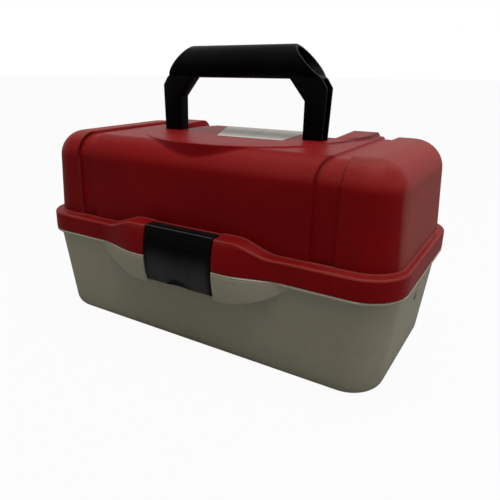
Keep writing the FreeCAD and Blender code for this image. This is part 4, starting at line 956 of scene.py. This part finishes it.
def lid_end(sink, steps=15, along=24):
    """Right end of the dome between its front and rear corners: upright rows, then the round shoulder, on
    corner arcs whose radius falls from the corner's to the corner's less the shoulder's. Flat on top."""
    front = quarter(len(REAR_TURN))[1:, None]
    rear = (0.5 * math.pi - REAR_TURN[::-1])[1:, None]
    share = np.concatenate([np.zeros(steps), np.linspace(0.0, 1.0, along)[1:-1], np.ones(steps)])
    turn = np.concatenate([np.zeros((len(WALL_ROWS), share.size)), front + (rear - front) * share])
    z = WALL_TOP + DOME_ROUND * np.sin(turn)
    z[:len(WALL_ROWS)] = WALL_ROWS[:, None]
    angle = np.concatenate([quarter(steps) - 0.5 * math.pi, np.zeros(along - 2), quarter(steps)])
    centre_y = (2.0 * share - 1.0) * (DOME_HALF_Y - DOME_CORNER)
    radius = DOME_CORNER - DOME_ROUND * (1.0 - np.cos(turn)) - sink * np.cos(turn)
    centre_x = dome_half_x(z) - DOME_CORNER
    return centre_x + radius * np.cos(angle), centre_y + radius * np.sin(angle), z - sink * np.sin(turn)


def flat_cap(end, main):
    """One flat face between the end's top row and the main grid's last column."""
    inner = np.abs(main[1][:, -1]) < FLAT_HALF_Y - TINY
    x, y = (np.concatenate([a[-1], b[:, -1][inner][::-1]]) for a, b in zip(end[:2], main[:2]))
    return np.stack([x, y, np.full_like(x, end[2][-1, 0])], -1), [list(range(len(x)))]


def lid_dome(settings):
    """The domed skin and its inner face, closed along their feet."""
    grid = lid_grid()
    outer, inner = lid_outside(*grid, settings), lid_inside(*grid, settings)
    outer_end, inner_end = lid_end(0.0), lid_end(LID_WALL)
    parts = [surface(*outer), surface(*inner)]
    parts += [rim([a[row] for a in outer], [a[row] for a in inner]) for row in (0, -1)]
    right = [surface(*outer_end), surface(*inner_end), flat_cap(outer_end, outer),
             flat_cap(inner_end, inner), rim([a[0] for a in outer_end], [a[0] for a in inner_end])]
    return parts + right + [mirrored(part) for part in right]


def lid_lip(settings):
    """The lip as one ring: its section is an angle, upright outside and a ledge in to the dome. At the
    front it swells to the bulge by S(x)(barrel - lip) and rises by T(x), and inside the latch's pocket it
    stays plain."""
    ring = Ring(bulge_stations(), np.linspace(-45.0, 45.0, 7), 15)
    open_front = ring.side > POCKET_X
    swell = np.where(open_front, fade(ring.side, BULGE_END_X, BULGE_FLAT_X), 0.0)
    lift = np.where(open_front, fade(ring.side, SHOULDER_END_X, SHOULDER_FLAT_X), 0.0)
    top = LIP_TOP + (SHOULDER_TOP - LIP_TOP) * lift
    plain, crisp = settings.lip_round / MM, settings.shoulder_round / MM
    radius = plain + (crisp - plain) * np.maximum(lift, swell * 0.6)
    dome = (DOME_FOOT_HALF_X, DOME_HALF_Y, DOME_CORNER)

    def outside(z, inset):
        """A row of the lip at height z, moved inwards by inset from its outer face."""
        return ring.row(LIP, z, swell * (-LIP[1] - barrel_y(z)) - inset)

    rows = [outside(LIP_BOTTOM, LID_WALL), outside(LIP_BOTTOM, 0.5), outside(LIP_BOTTOM + 0.15, 0.14)]
    upright = top - radius - LIP_BOTTOM - 0.5
    rows += [outside(LIP_BOTTOM + 0.5 + upright * share, 0.0) for share in np.linspace(0.0, 1.0, 12)]
    for turn in quarter(8)[1:]:
        rows.append(outside(top - radius * (1.0 - math.sin(turn)), radius * (1.0 - math.cos(turn))))
    rows.append(outside(top, radius + 0.4))
    ledge = ((2.1, 0.0), (1.6, 0.0), (0.8, 0.12), (0.35, 0.4), (0.1, 0.9), (-0.3, 1.1))
    rows += [ring.row(dome, top + rise, out) for out, rise in ledge]
    rows += [ring.row(dome, top - LID_WALL, out) for out in (-0.3, 0.4)]
    rows += [outside(top - LID_WALL + (LIP_BOTTOM - top + LID_WALL) * share, LID_WALL)
             for share in np.linspace(0.0, 1.0, 5)]
    return shell(rows, closed=True)


def lid_wear_and_light(lid):
    """Where the lid is dusty and worn, and where light and shade are painted: a dusty film on what faces up
    and on the end caps, with a painted sheen on the caps' upright ends; a painted sheen on the shoulder
    below the deck; painted highlight lines along the lip; painted shade along the deck's foot and the bands'
    edges."""
    (x, y, z), (facing_x, _, facing_z) = vertex_arrays(lid)
    # side: the upright ends, whose dusty film also stands for painted sheen
    side = fade(np.abs(facing_x), 0.90, 0.968) * (0.75 + 0.25 * fade(z, 155.0, 130.0))
    dome = fade(z, LIP_TOP - 0.5, LIP_TOP + 3.0)
    cap = fade(np.abs(x), GROOVE[1] - 0.6, GROOVE[1] + 0.7)
    tip = fade(np.hypot(x - DUSTY_TIP[0], y - DUSTY_TIP[1]), 32.0, 8.0)
    film = fade(facing_z, 0.62, 0.99)
    # painted sheen on the shoulder below the deck
    shoulder = fade(facing_z, 0.10, 0.45) * fade(z, 170.4, 167.0) * (z > WALL_TOP - 2.0)
    dust = 0.06 * film + cap * (0.45 * film * (0.15 + 0.85 * dome) + side * (0.08 + 0.66 * dome))
    # the shoulder's painted sheen grows lighter towards the right
    dust = dust + 0.35 * tip * film + 0.21 * shoulder * (0.3 + 0.7 * fade(x, -80.0, 100.0))
    # painted highlight lines along the lip's rounded edges
    ridge = fade(facing_z, 0.2, 0.5) * fade(facing_z, 0.99, 0.85)
    ridge = ridge * (z > LIP_TOP - 4.0) * (z < SHOULDER_TOP + 2.0)
    inside = deck_inside(x, y)
    # painted shade: a dark band along the deck's foot, kept free of the dusty film, and dark lines at the
    # bands' edges
    foot = fade(inside, -5.0, -3.0) * fade(inside, 1.5, 0.6) * fade(y, DECK_TIP_Y, DECK_TIP_Y + 22.0)
    foot = foot * (z > CENTRE_TOP - 1.5)
    front = fade(-y, FLAT_HALF_Y - 1.0, FLAT_HALF_Y + 5.0) * (0.2 + 0.8 * fade(z, 146.0, 158.0))
    outer = fade(np.abs(np.abs(x) - GROOVE[1]), 0.8, 0.3) * front
    inner = fade(np.abs(np.abs(x) + groove_swing(y) - GROOVE[0] - 1.0), 1.8, 0.8) * front
    dirt = np.maximum(np.maximum(0.6 * foot, 0.9 * outer), 0.35 * inner) * (z > SHOULDER_TOP)
    store(lid, dust=np.clip(dust * (1.0 - foot), 0.0, 1.0), dirt=dirt, shoulder=shoulder, ridge=ridge)
    store_wear(lid)


def pocket_rim():
    """The strip of the shoulder left standing behind the latch, against the dome."""
    return block((-DOME_HALF_Y - POCKET_RIM, -DOME_HALF_Y + 1.0), (LIP_TOP - 0.5, SHOULDER_TOP),
                 POCKET_X + 0.5, 0.5)


def hinge_lug(wall_y, foot_z, x0, x1):
    """A lug from the rear wall out to the hinge's knuckle, with the knuckle, on both sides of the box."""
    y, z = HINGE
    lug = [(wall_y, foot_z), (y + KNUCKLE_RADIUS, z), (y - KNUCKLE_RADIUS, z), (wall_y, z)]
    return both_sides(slab(lug, x0, x1, "x")) + both_sides(round_bar(KNUCKLE_RADIUS, x0, x1, y, z))


def build_lid(settings):
    """The domed lid with its lip, deck, wells and hinge knuckles."""
    knuckles = hinge_lug(LIP[1] - LID_WALL, LIP_BOTTOM + LUG_DROP, HINGE_X - LID_KNUCKLE_HALF,
                         HINGE_X + LID_KNUCKLE_HALF)
    parts = lid_dome(settings) + [lid_lip(settings), pocket_rim()] + knuckles
    lid_wear_and_light(make_piece("lid_shell_skin", parts, "lid", ["lid_shell"], lid_plastic(settings)))


# ---------------------------------------------------------------- tub
def tub_outline(z, inset=0.0):
    """Half-length, half-depth and corner radius of the tub's tapered wall at height z."""
    return tuple(foot + (top - foot) * z / TUB_HEIGHT - inset for foot, top in zip(TUB_FOOT, TUB_TOP))


def lens_rows(ring, settings):
    """The tapered wall, then the lens's ledge, its rounded lower edge and its front. The lens stands out by
    S(x)(barrel - wall) above an edge that curves up to both sides. Also how far it stands out at the
    top."""
    swell = np.where(ring.side > POCKET_X, fade(ring.side, LENS_END_X, BULGE_FLAT_X), 0.0)
    reach = np.clip(ring.side - LENS_FLAT_X, 0.0, LENS_RADIUS - TINY)
    edge_z = np.minimum(LENS_BOTTOM + drop(LENS_RADIUS, reach), TUB_HEIGHT - 0.01)
    radius = np.minimum(settings.lens_round / MM, 0.4 * (TUB_HEIGHT - edge_z))

    def out(z):
        """How far the lens stands out from the tapered wall at height z."""
        return np.maximum(swell * (-tub_outline(z)[1] - barrel_y(z)), 0.0)

    def wall(z, reach=0.0):
        """A row of the tapered wall at height z, moved outwards by reach."""
        return ring.row(tub_outline(z), z, reach)

    rows = [wall(BOTTOM_ROUND + (edge_z - BOTTOM_ROUND) * (z - BOTTOM_ROUND) / (TUB_HEIGHT - BOTTOM_ROUND))
            for z in TUB_ROWS]
    ledge = (out(edge_z) - radius) * (out(edge_z) > 0.0)
    rows += [wall(edge_z, 0.5 * ledge), wall(edge_z, ledge)]
    for turn in quarter(5)[1:]:
        z = edge_z + radius * (1.0 - math.cos(turn))
        rows.append(wall(z, np.maximum(out(z) - radius * (1.0 - math.sin(turn)), 0.0)))
    for share in np.linspace(0.0, 1.0, 10)[1:]:
        z = edge_z + radius + (TUB_HEIGHT - edge_z - radius) * share
        rows.append(wall(z, out(z)))
    return rows, out(TUB_HEIGHT)


def rim_rows(ring, lens_out):
    """The rim flange, which follows the lens, and the thin tongue that stands up inside the lid's lip."""
    flange = grown(LIP, -0.1)
    out = np.maximum(TUB_TOP[1] + lens_out - flange[1], 0.0) * ring.front
    section = ((0.3, TUB_HEIGHT), (0.1, TUB_HEIGHT + 0.1), (0.0, TUB_HEIGHT + 0.3), (0.0, FLANGE_TOP - 0.9),
               (0.07, FLANGE_TOP - 0.55), (0.26, FLANGE_TOP - 0.26), (0.55, FLANGE_TOP - 0.07),
               (0.9, FLANGE_TOP))
    rows = [ring.row(flange, z, out - back) for back, z in section]
    wall, top = UPSTAND_WALL, UPSTAND_TOP
    section = ((0.0, FLANGE_TOP), (0.0, top - 0.5), (0.15, top - 0.15), (0.5, top), (wall - 0.5, top),
               (wall - 0.15, top - 0.15), (wall, top - 0.5), (wall, TUB_HEIGHT - 0.5))
    return rows + [ring.row(grown(TUB_TOP, -UPSTAND_INSET - inset), z) for inset, z in section]


def round_foot(ring, radius, inset):
    """Rows of the quarter round at the foot of the tub's outer or inner wall, from the wall down."""
    rows = []
    for turn in quarter(9 if inset == 0.0 else 7):
        z = BOTTOM_ROUND - radius * math.sin(turn)
        rows.append(ring.row(tub_outline(z, inset + radius * (1.0 - math.cos(turn))), z))
    return rows


def tub_skin(settings):
    """The tub as one closed surface: foot, tapered wall with the lens, rim, and the inner wall and floor,
    with flat seats for the rivets' heads in its end walls."""
    ring = Ring(bulge_stations(), END_STATIONS, 17)
    outside, lens_out = lens_rows(ring, settings)
    rows = round_foot(ring, BOTTOM_ROUND, 0.0)[::-1] + outside + rim_rows(ring, lens_out)
    rows += [ring.row(tub_outline(z, TUB_WALL), z) for z in INNER_ROWS]
    rows += round_foot(ring, BOTTOM_ROUND - TUB_WALL, TUB_WALL)
    points, faces = shell(rows)
    x, y, z = points.T
    seat = (np.hypot(y - TUB_PIVOT[0], z - TUB_PIVOT[1]) < SEAT_RADIUS) & (np.abs(x) > 157.0)
    points[:, 0] = np.where(seat, np.sign(x) * SEAT_X, x)
    return points, faces


def build_tub(settings):
    """The tub with the latch's catch, the bosses for the arms' rivets and the hinge lugs."""
    parts = [tub_skin(settings), block(CATCH_Y, CATCH_Z, POCKET_X + 0.5)]
    parts += both_sides(round_bar(BOSS_RADIUS, *BOSS_X, *TUB_PIVOT))
    low, high = TUB_KNUCKLE
    for x0, x1 in ((HINGE_X - high, HINGE_X - low), (HINGE_X + low, HINGE_X + high)):
        parts += hinge_lug(TUB_TOP[1] - TUB_WALL, TUB_HEIGHT - LUG_DROP, x0, x1)
    tub = make_piece("base_tub_skin", parts, "base", ["base_tub"], tub_plastic(settings))
    (x, y, z), _ = vertex_arrays(tub)
    outside = (np.abs(x) > LIP[0] - 1.5) | (np.abs(y) > LIP[1] - 1.5)
    # how far the lens stands proud, which keeps it free of painted shade and of some soiling; a painted
    # highlight along the flange's top edge
    store(tub, rubbed=fade(-y - tub_outline(z)[1], 0.1, 0.5),
          rim=fade(z, FLANGE_TOP - 1.0, FLANGE_TOP - 0.55) * outside)
    store_wear(tub)


# ---------------------------------------------------------------- latch
def scoop_depth(x, z):
    """Share of the thumb scoop's depth: one less the squares of x and z over its half-width and height."""
    half, high, _ = SCOOP
    return np.clip(1.0 - (x / half) ** 2 - ((z - LATCH_Z[0]) / high) ** 2, 0.0, 1.0)


def latch_plate(settings):
    """A plate on the bulge's round bar, from its lower edge with the thumb notch to its top. Its faces
    curve in by r - sqrt(r^2 - (r - e)^2) within r of the edge, where e is the distance to the edge."""
    radius = settings.edge_round / MM
    ease_in = radius * np.array([0.0, 0.08, 0.3, 0.65, 1.0])
    half = np.array([0.25, 0.5, 0.75, 0.9, 0.97, 1.0]) * NOTCH_HALF_X
    half = np.concatenate([half, [12.0, 16.0, 22.0, 27.0], LATCH_HALF_X - ease_in[::-1]])
    x = np.concatenate([-half[::-1], [0.0], half])[None, :]
    notch_radius = 0.5 * (NOTCH_HALF_X ** 2 / NOTCH_HEIGHT + NOTCH_HEIGHT)
    notch = np.where(np.abs(x) < NOTCH_HALF_X, np.maximum(NOTCH_HEIGHT - drop(notch_radius, x), 0.0), 0.0)
    low, high = LATCH_Z[0] + notch, LATCH_Z[1] + 0.0 * x
    middle = np.concatenate([np.linspace(0.0, 0.2, 9), np.linspace(0.2, 1.0, 14)[1:]])[1:-1, None]
    z = np.concatenate([low + ease_in[:, None], low + radius + (high - low - 2.0 * radius) * middle,
                        high - ease_in[::-1][:, None]])
    x = x + 0.0 * z
    edge = np.minimum(np.minimum(z - low, LATCH_Z[1] - z), LATCH_HALF_X - np.abs(x))
    curl, curl_back = (drop(r, np.maximum(r - edge, 0.0)) for r in (radius, LATCH_BACK_ROUND))
    front = barrel_y(z) + np.maximum(curl, SCOOP[2] * ease(1.6 * scoop_depth(x, z)))
    return plate((x, front, z), (x, barrel_y(z) + LATCH_THICK - curl_back, z))


def build_latch(settings):
    """The latch: its plate, a roof and a web back to the barrel on its pin, and the hook under the
    catch."""
    pin_y, pin_z = LATCH_PIN
    top, half = LATCH_Z[1], LATCH_HALF_X - 0.05
    behind_top, behind_hook = (float(barrel_y(z)) + 0.5 * LATCH_THICK for z in (top, HOOK_TOP - HOOK_THICK))
    parts = latch_plate(settings) + [
        block((behind_top, pin_y + LATCH_BARREL), (top - LATCH_ROOF, top), half, 0.6),
        block((behind_top, pin_y), (pin_z - LATCH_WEB_HALF, pin_z + LATCH_WEB_HALF), half),
        block((behind_hook, HOOK_BACK_Y), (HOOK_TOP - HOOK_THICK, HOOK_TOP), HOOK_HALF_X),
        round_bar(LATCH_BARREL, -half, half, pin_y, pin_z),
    ]
    # 0.086 is the height below which the latch gets its painted reflection of the floor
    latch = make_piece("latch_body", parts, "latch", ["latch"],
                       black_plastic("latch_black", settings.skin, 0.30, 0.26, 0.026, 0.086))
    (x, y, z), (_, facing_y, _) = vertex_arrays(latch)
    # painted shade at the scoop and the side borders, and a painted highlight along the top front edge
    border = 1.0 - fade(LATCH_HALF_X - np.abs(x), 0.4, 2.4)
    top_front = (z > top - 0.8) & (y < barrel_y(top) + 0.5)
    store(latch, clean=np.maximum(ease(3.0 * scoop_depth(x, z)), border),
          ridge=fade(-facing_y, 0.3, 0.6) * top_front)
    store_wear(latch)


# ---------------------------------------------------------------- handle
def chamfer_x(z):
    """Half-width of the slanted plane that cuts the grip's ends, at height z."""
    share = (z - GRIP_Z + GRIP_RADIUS) / (2.0 * GRIP_RADIUS)
    return GRIP_LOW_HALF_X + (GRIP_TOP_HALF_X - GRIP_LOW_HALF_X) * share


def grip():
    """A tube with slanted ends: each row is a circle of its own radius whose x follows the slanted
    plane."""
    angle = circle(72)
    bore = GRIP_RADIUS - GRIP_WALL
    end = [(GRIP_RADIUS, 0.7), (GRIP_RADIUS - 0.09, 0.3), (GRIP_RADIUS - 0.3, 0.09),
           (GRIP_RADIUS - 0.7, 0.0), (bore + 0.5, 0.0), (bore + 0.15, 0.15), (bore, 0.5)]
    rows = []
    for side, section in ((1.0, end), (-1.0, end[::-1])):
        for radius, back in section:
            y, z = HANDLE_Y + radius * np.cos(angle), GRIP_Z + radius * np.sin(angle)
            rows.append(np.stack([side * (chamfer_x(z) - back), y, z]))
    return shell(rows, closed=True)


def leg(edge):
    """The right leg: a channel of two plates and the web between them, with a round foot on the pivot."""
    front, back = HANDLE_Y - LEG_HALF_Y, HANDLE_Y + LEG_HALF_Y
    foot_z, top_z = PIVOT_Z + CHANNEL_START, GRIP_Z - GRIP_RADIUS + GRIP_WALL - 0.15
    wall = HANDLE_WALL
    start = (LEG_INNER_X, foot_z - 2.0)
    inner = [(INNER_CHAMFER_TOP_X, top_z), (INNER_CHAMFER_TOP_X, ARCH_UNDERSIDE_Z),
             (LEG_INNER_X, INNER_CHAMFER_Z)]
    side = [start, (LEG_OUTER_X, foot_z - 2.0), (LEG_SHOULDER_X, OUTER_CHAMFER_Z),
            (PLATE_TOP_HALF_X, GRIP_Z - GRIP_RADIUS), (float(chamfer_x(top_z)), top_z)] + inner
    web = [start, (LEG_INNER_X + wall, foot_z - 2.0), (LEG_INNER_X + wall, INNER_CHAMFER_Z + 0.5 * wall),
           (INNER_CHAMFER_TOP_X + wall, top_z)] + inner
    turn = np.linspace(math.pi, 2.0 * math.pi, 19)
    foot = [(HANDLE_Y + LEG_HALF_Y * math.cos(a), PIVOT_Z + LEG_HALF_Y * math.sin(a)) for a in turn]
    foot += [(back, foot_z), (front, foot_z)]
    return [slab(side, front, front + wall, "y", edge), slab(side, back - wall, back, "y", edge),
            slab(web, front + 0.02, back - 0.02, "y", edge), slab(foot, LEG_INNER_X, LEG_OUTER_X, "x", edge)]


def build_handle(settings):
    """The carry handle: a hollow grip on two channel legs."""
    right = leg(settings.edge_round / MM)
    parts = [grip()] + right + [mirrored(part) for part in right]
    finish = black_plastic("handle_black", settings.skin, 0.34, 0.08, 0.030)
    store_wear(make_piece("handle_arch", parts, "handle", ["handle"], finish))


# ---------------------------------------------------------------- label
def build_label(settings):
    """A thin sheet laid on the deck: points between its four corners, first along the front and rear edges,
    then between those, with the height of the deck's floor."""
    u, v = np.meshgrid(np.linspace(0.0, 1.0, 41), np.linspace(0.0, 1.0, 61))
    front_left, front_right, rear_right, rear_left = LABEL_CORNERS
    x, y = ((1.0 - v) * ((1.0 - u) * a + u * b) + v * ((1.0 - u) * d + u * c)
            for a, b, c, d in zip(*LABEL_CORNERS))
    floor = deck_height(x, y, DOME_ROUND)
    parts = plate((x, y, floor + settings.thickness / MM), (x, y, floor + 0.01))
    label = make_piece("blank_label_sheet", parts, "lid", ["blank_label"],
                       label_paper(settings))
    (x, y, _), _ = vertex_arrays(label)
    across = (y - front_left[1]) / (rear_left[1] - front_left[1])
    left = front_left[0] + (rear_left[0] - front_left[0]) * across
    right = front_right[0] + (rear_right[0] - front_right[0]) * across
    store(label, across=across, along=(x - left) / (right - left))


# ---------------------------------------------------------------- fittings
STEEL_KINDS = ("latch_pin", "hinge_pin", "handle_pin", "tray_pivot_rivet", "tray_link_pin", "bracket_rivets")


def finish_fittings(settings):
    """Gives the tray, dividers, arms, pins, rivets, brackets and spacers their finishes."""
    steel = plated_steel("plated_steel", settings.steel)
    strap = plated_steel("strap_steel", toned(settings.steel, 0.9))
    dark = plated_steel("darkened_steel", toned(settings.steel, 0.12))
    finishes = {
        "tray": inner_plastic("tray_grey", settings.tray, 0.45),
        "tray_divider": inner_plastic("divider_grey", settings.divider, 0.42),
        "arm_spacer": inner_plastic("spacer_nylon", settings.nylon, 0.5),
        "swing_arm": strap, "lid_bracket": strap, "tub_pivot_rivet": dark,
    }
    finishes.update({kind: steel for kind in STEEL_KINDS})
    for name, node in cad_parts.items():
        kinds = [kind for kind in finishes if name.startswith(kind)]
        if kinds:
            for place in node.material_slots:
                place.material = finishes[max(kinds, key=len)]


# ---------------------------------------------------------------- stage
CAMERA_PLACE = (0.2258, -0.3841, 0.2248)
CAMERA_YAW = math.radians(33.20)
CAMERA_PITCH = math.radians(71.44)
CAMERA_ROLL = math.radians(0.21)
LENS_MM = 36.57
SHIFT = (0.0702, -0.0227)
LAMP_AIM = (0.0, 0.0, 0.1)
FLOOR_GLOW = 0.955                  # share of plain white in the floor that the camera sees


def build_floor(settings):
    """A square floor that is plain white to the camera and keeps the shadow."""
    half = 0.5 * settings.floor_size
    mesh = bpy.data.meshes.new("floor")
    mesh.from_pydata([(-half, -half, 0.0), (half, -half, 0.0), (half, half, 0.0), (-half, half, 0.0)], [],
                     [(0, 1, 2, 3)])
    floor = bpy.data.objects.new("floor", mesh)
    bpy.context.scene.collection.objects.link(floor)
    finish = Finish("floor", Roughness=0.9)
    seen = Value(finish.tree, finish.node("ShaderNodeLightPath").outputs["Is Camera Ray"])
    base = finish.mix(finish.noise(3.0, 3.0), toned(settings.floor, 0.98), settings.floor)
    glow = finish.node("ShaderNodeEmission", Color=(1.0, 1.0, 1.0), Strength=1.0)
    blend = finish.node("ShaderNodeMixShader", Fac=seen * FLOOR_GLOW)
    finish.tree.links.new(finish.shader.outputs[0], blend.inputs[1])
    finish.tree.links.new(glow.outputs[0], blend.inputs[2])
    finish.tree.links.new(blend.outputs[0], finish.output.inputs["Surface"])
    mesh.materials.append(finish.feed(Base_Color=base))


def build_world(settings):
    """Even pale light; plain white for what the camera, reflections and clear things see."""
    world = bpy.data.worlds.new("studio")
    bpy.context.scene.world = world
    world.use_nodes = True
    tree = world.node_tree
    tree.nodes.clear()
    path = tree.nodes.new("ShaderNodeLightPath")
    seen = Value(tree, path.outputs["Is Camera Ray"]).math("MAXIMUM", path.outputs["Is Glossy Ray"])
    seen = seen.math("MAXIMUM", path.outputs["Is Transmission Ray"])
    shade = tree.nodes.new("ShaderNodeBackground")
    shade.inputs["Color"].default_value = (1.0, 1.0, 1.0, 1.0)
    connect(tree, settings.world + seen * (1.0 - settings.world), shade.inputs["Strength"])
    output = tree.nodes.new("ShaderNodeOutputWorld")
    tree.links.new(shade.outputs[0], output.inputs["Surface"])


def turn_to(place, yaw, pitch, roll=0.0):
    """A matrix at place, turned about its own Z, then X, then Z again."""
    return (Matrix.Translation(place) @ Matrix.Rotation(yaw, 4, "Z") @ Matrix.Rotation(pitch, 4, "X")
            @ Matrix.Rotation(roll, 4, "Z"))


def softbox(name, place, size, power):
    """A square area lamp at place that looks at the box."""
    lamp = bpy.data.lights.new(name, "AREA")
    lamp.energy, lamp.size = power, size
    box = bpy.data.objects.new(name, lamp)
    x, y, z = np.subtract(place, LAMP_AIM)
    box.matrix_world = turn_to(place, math.atan2(x, -y), math.atan2(math.hypot(x, y), z))
    bpy.context.scene.collection.objects.link(box)


def build_camera():
    """The camera, in front of the box's right corner and a little above its lid."""
    lens = bpy.data.cameras.new("camera")
    lens.lens, lens.sensor_width, lens.sensor_fit = LENS_MM, 36.0, "HORIZONTAL"
    lens.shift_x, lens.shift_y = SHIFT
    lens.clip_start, lens.clip_end = 0.01, 50.0
    camera = bpy.data.objects.new("camera", lens)
    camera.matrix_world = turn_to(CAMERA_PLACE, CAMERA_YAW, CAMERA_PITCH, CAMERA_ROLL)
    bpy.context.scene.collection.objects.link(camera)
    bpy.context.scene.camera = camera


# ---------------------------------------------------------------- operators and panel
class BOX_OT_lid(Operator):
    """Builds the domed red lid"""
    bl_idname = "tackle_box.lid"
    bl_label = "Lid"

    def execute(self, context):
        build_lid(context.scene.tackle_lid)
        return {"FINISHED"}


class BOX_OT_tub(Operator):
    """Builds the beige tub"""
    bl_idname = "tackle_box.tub"
    bl_label = "Tub"

    def execute(self, context):
        build_tub(context.scene.tackle_tub)
        return {"FINISHED"}


class BOX_OT_latch(Operator):
    """Builds the black snap latch"""
    bl_idname = "tackle_box.latch"
    bl_label = "Latch"

    def execute(self, context):
        build_latch(context.scene.tackle_latch)
        return {"FINISHED"}


class BOX_OT_handle(Operator):
    """Builds the folding carry handle"""
    bl_idname = "tackle_box.handle"
    bl_label = "Handle"

    def execute(self, context):
        build_handle(context.scene.tackle_handle)
        return {"FINISHED"}


class BOX_OT_label(Operator):
    """Lays the blank label on the deck"""
    bl_idname = "tackle_box.label"
    bl_label = "Label"

    def execute(self, context):
        build_label(context.scene.tackle_label)
        return {"FINISHED"}


class BOX_OT_fittings(Operator):
    """Finishes the tray, dividers, arms, pins and rivets"""
    bl_idname = "tackle_box.fittings"
    bl_label = "Fittings"

    def execute(self, context):
        finish_fittings(context.scene.tackle_fittings)
        return {"FINISHED"}


class BOX_OT_stage(Operator):
    """Sets up the floor, the room light, the softboxes and the camera"""
    bl_idname = "tackle_box.stage"
    bl_label = "Stage"

    def execute(self, context):
        settings = context.scene.tackle_stage
        build_floor(settings)
        build_world(settings)
        softbox("key_softbox", (0.35, -0.25, 1.7), 1.1, settings.key_power)
        softbox("side_softbox", (1.5, 0.15, 0.8), 0.9, settings.side_power)
        build_camera()
        context.scene.view_settings.view_transform = "Standard"
        return {"FINISHED"}


class BOX_PT_panel(Panel):
    """Lists the settings and steps of the tackle box"""
    bl_idname = "BOX_PT_panel"
    bl_label = "Tackle Box"
    bl_space_type = "VIEW_3D"
    bl_region_type = "UI"
    bl_category = "Tackle Box"

    def draw(self, context):
        for step, name, settings_type in STEPS:
            box = self.layout.box()
            box.operator("tackle_box." + step)
            settings = getattr(context.scene, name)
            for key in settings_type.__annotations__:
                box.prop(settings, key)


STEPS = (
    ("lid", "tackle_lid", LidSettings), ("tub", "tackle_tub", TubSettings),
    ("latch", "tackle_latch", LatchSettings), ("handle", "tackle_handle", HandleSettings),
    ("label", "tackle_label", LabelSettings), ("fittings", "tackle_fittings", FittingSettings),
    ("stage", "tackle_stage", StageSettings),
)
CLASSES = [settings_type for _, _, settings_type in STEPS]
CLASSES += [BOX_OT_lid, BOX_OT_tub, BOX_OT_latch, BOX_OT_handle, BOX_OT_label, BOX_OT_fittings, BOX_OT_stage,
            BOX_PT_panel]


def register():
    for made in CLASSES:
        bpy.utils.register_class(made)
    for _, name, settings_type in STEPS:
        setattr(bpy.types.Scene, name, PointerProperty(type=settings_type))


def unregister():
    for _, name, _ in STEPS:
        delattr(bpy.types.Scene, name)
    for made in reversed(CLASSES):
        bpy.utils.unregister_class(made)


def main():
    register()
    for step, _, _ in STEPS:
        getattr(bpy.ops.tackle_box, step)()
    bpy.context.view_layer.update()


if __name__ == "__main__":
    main()
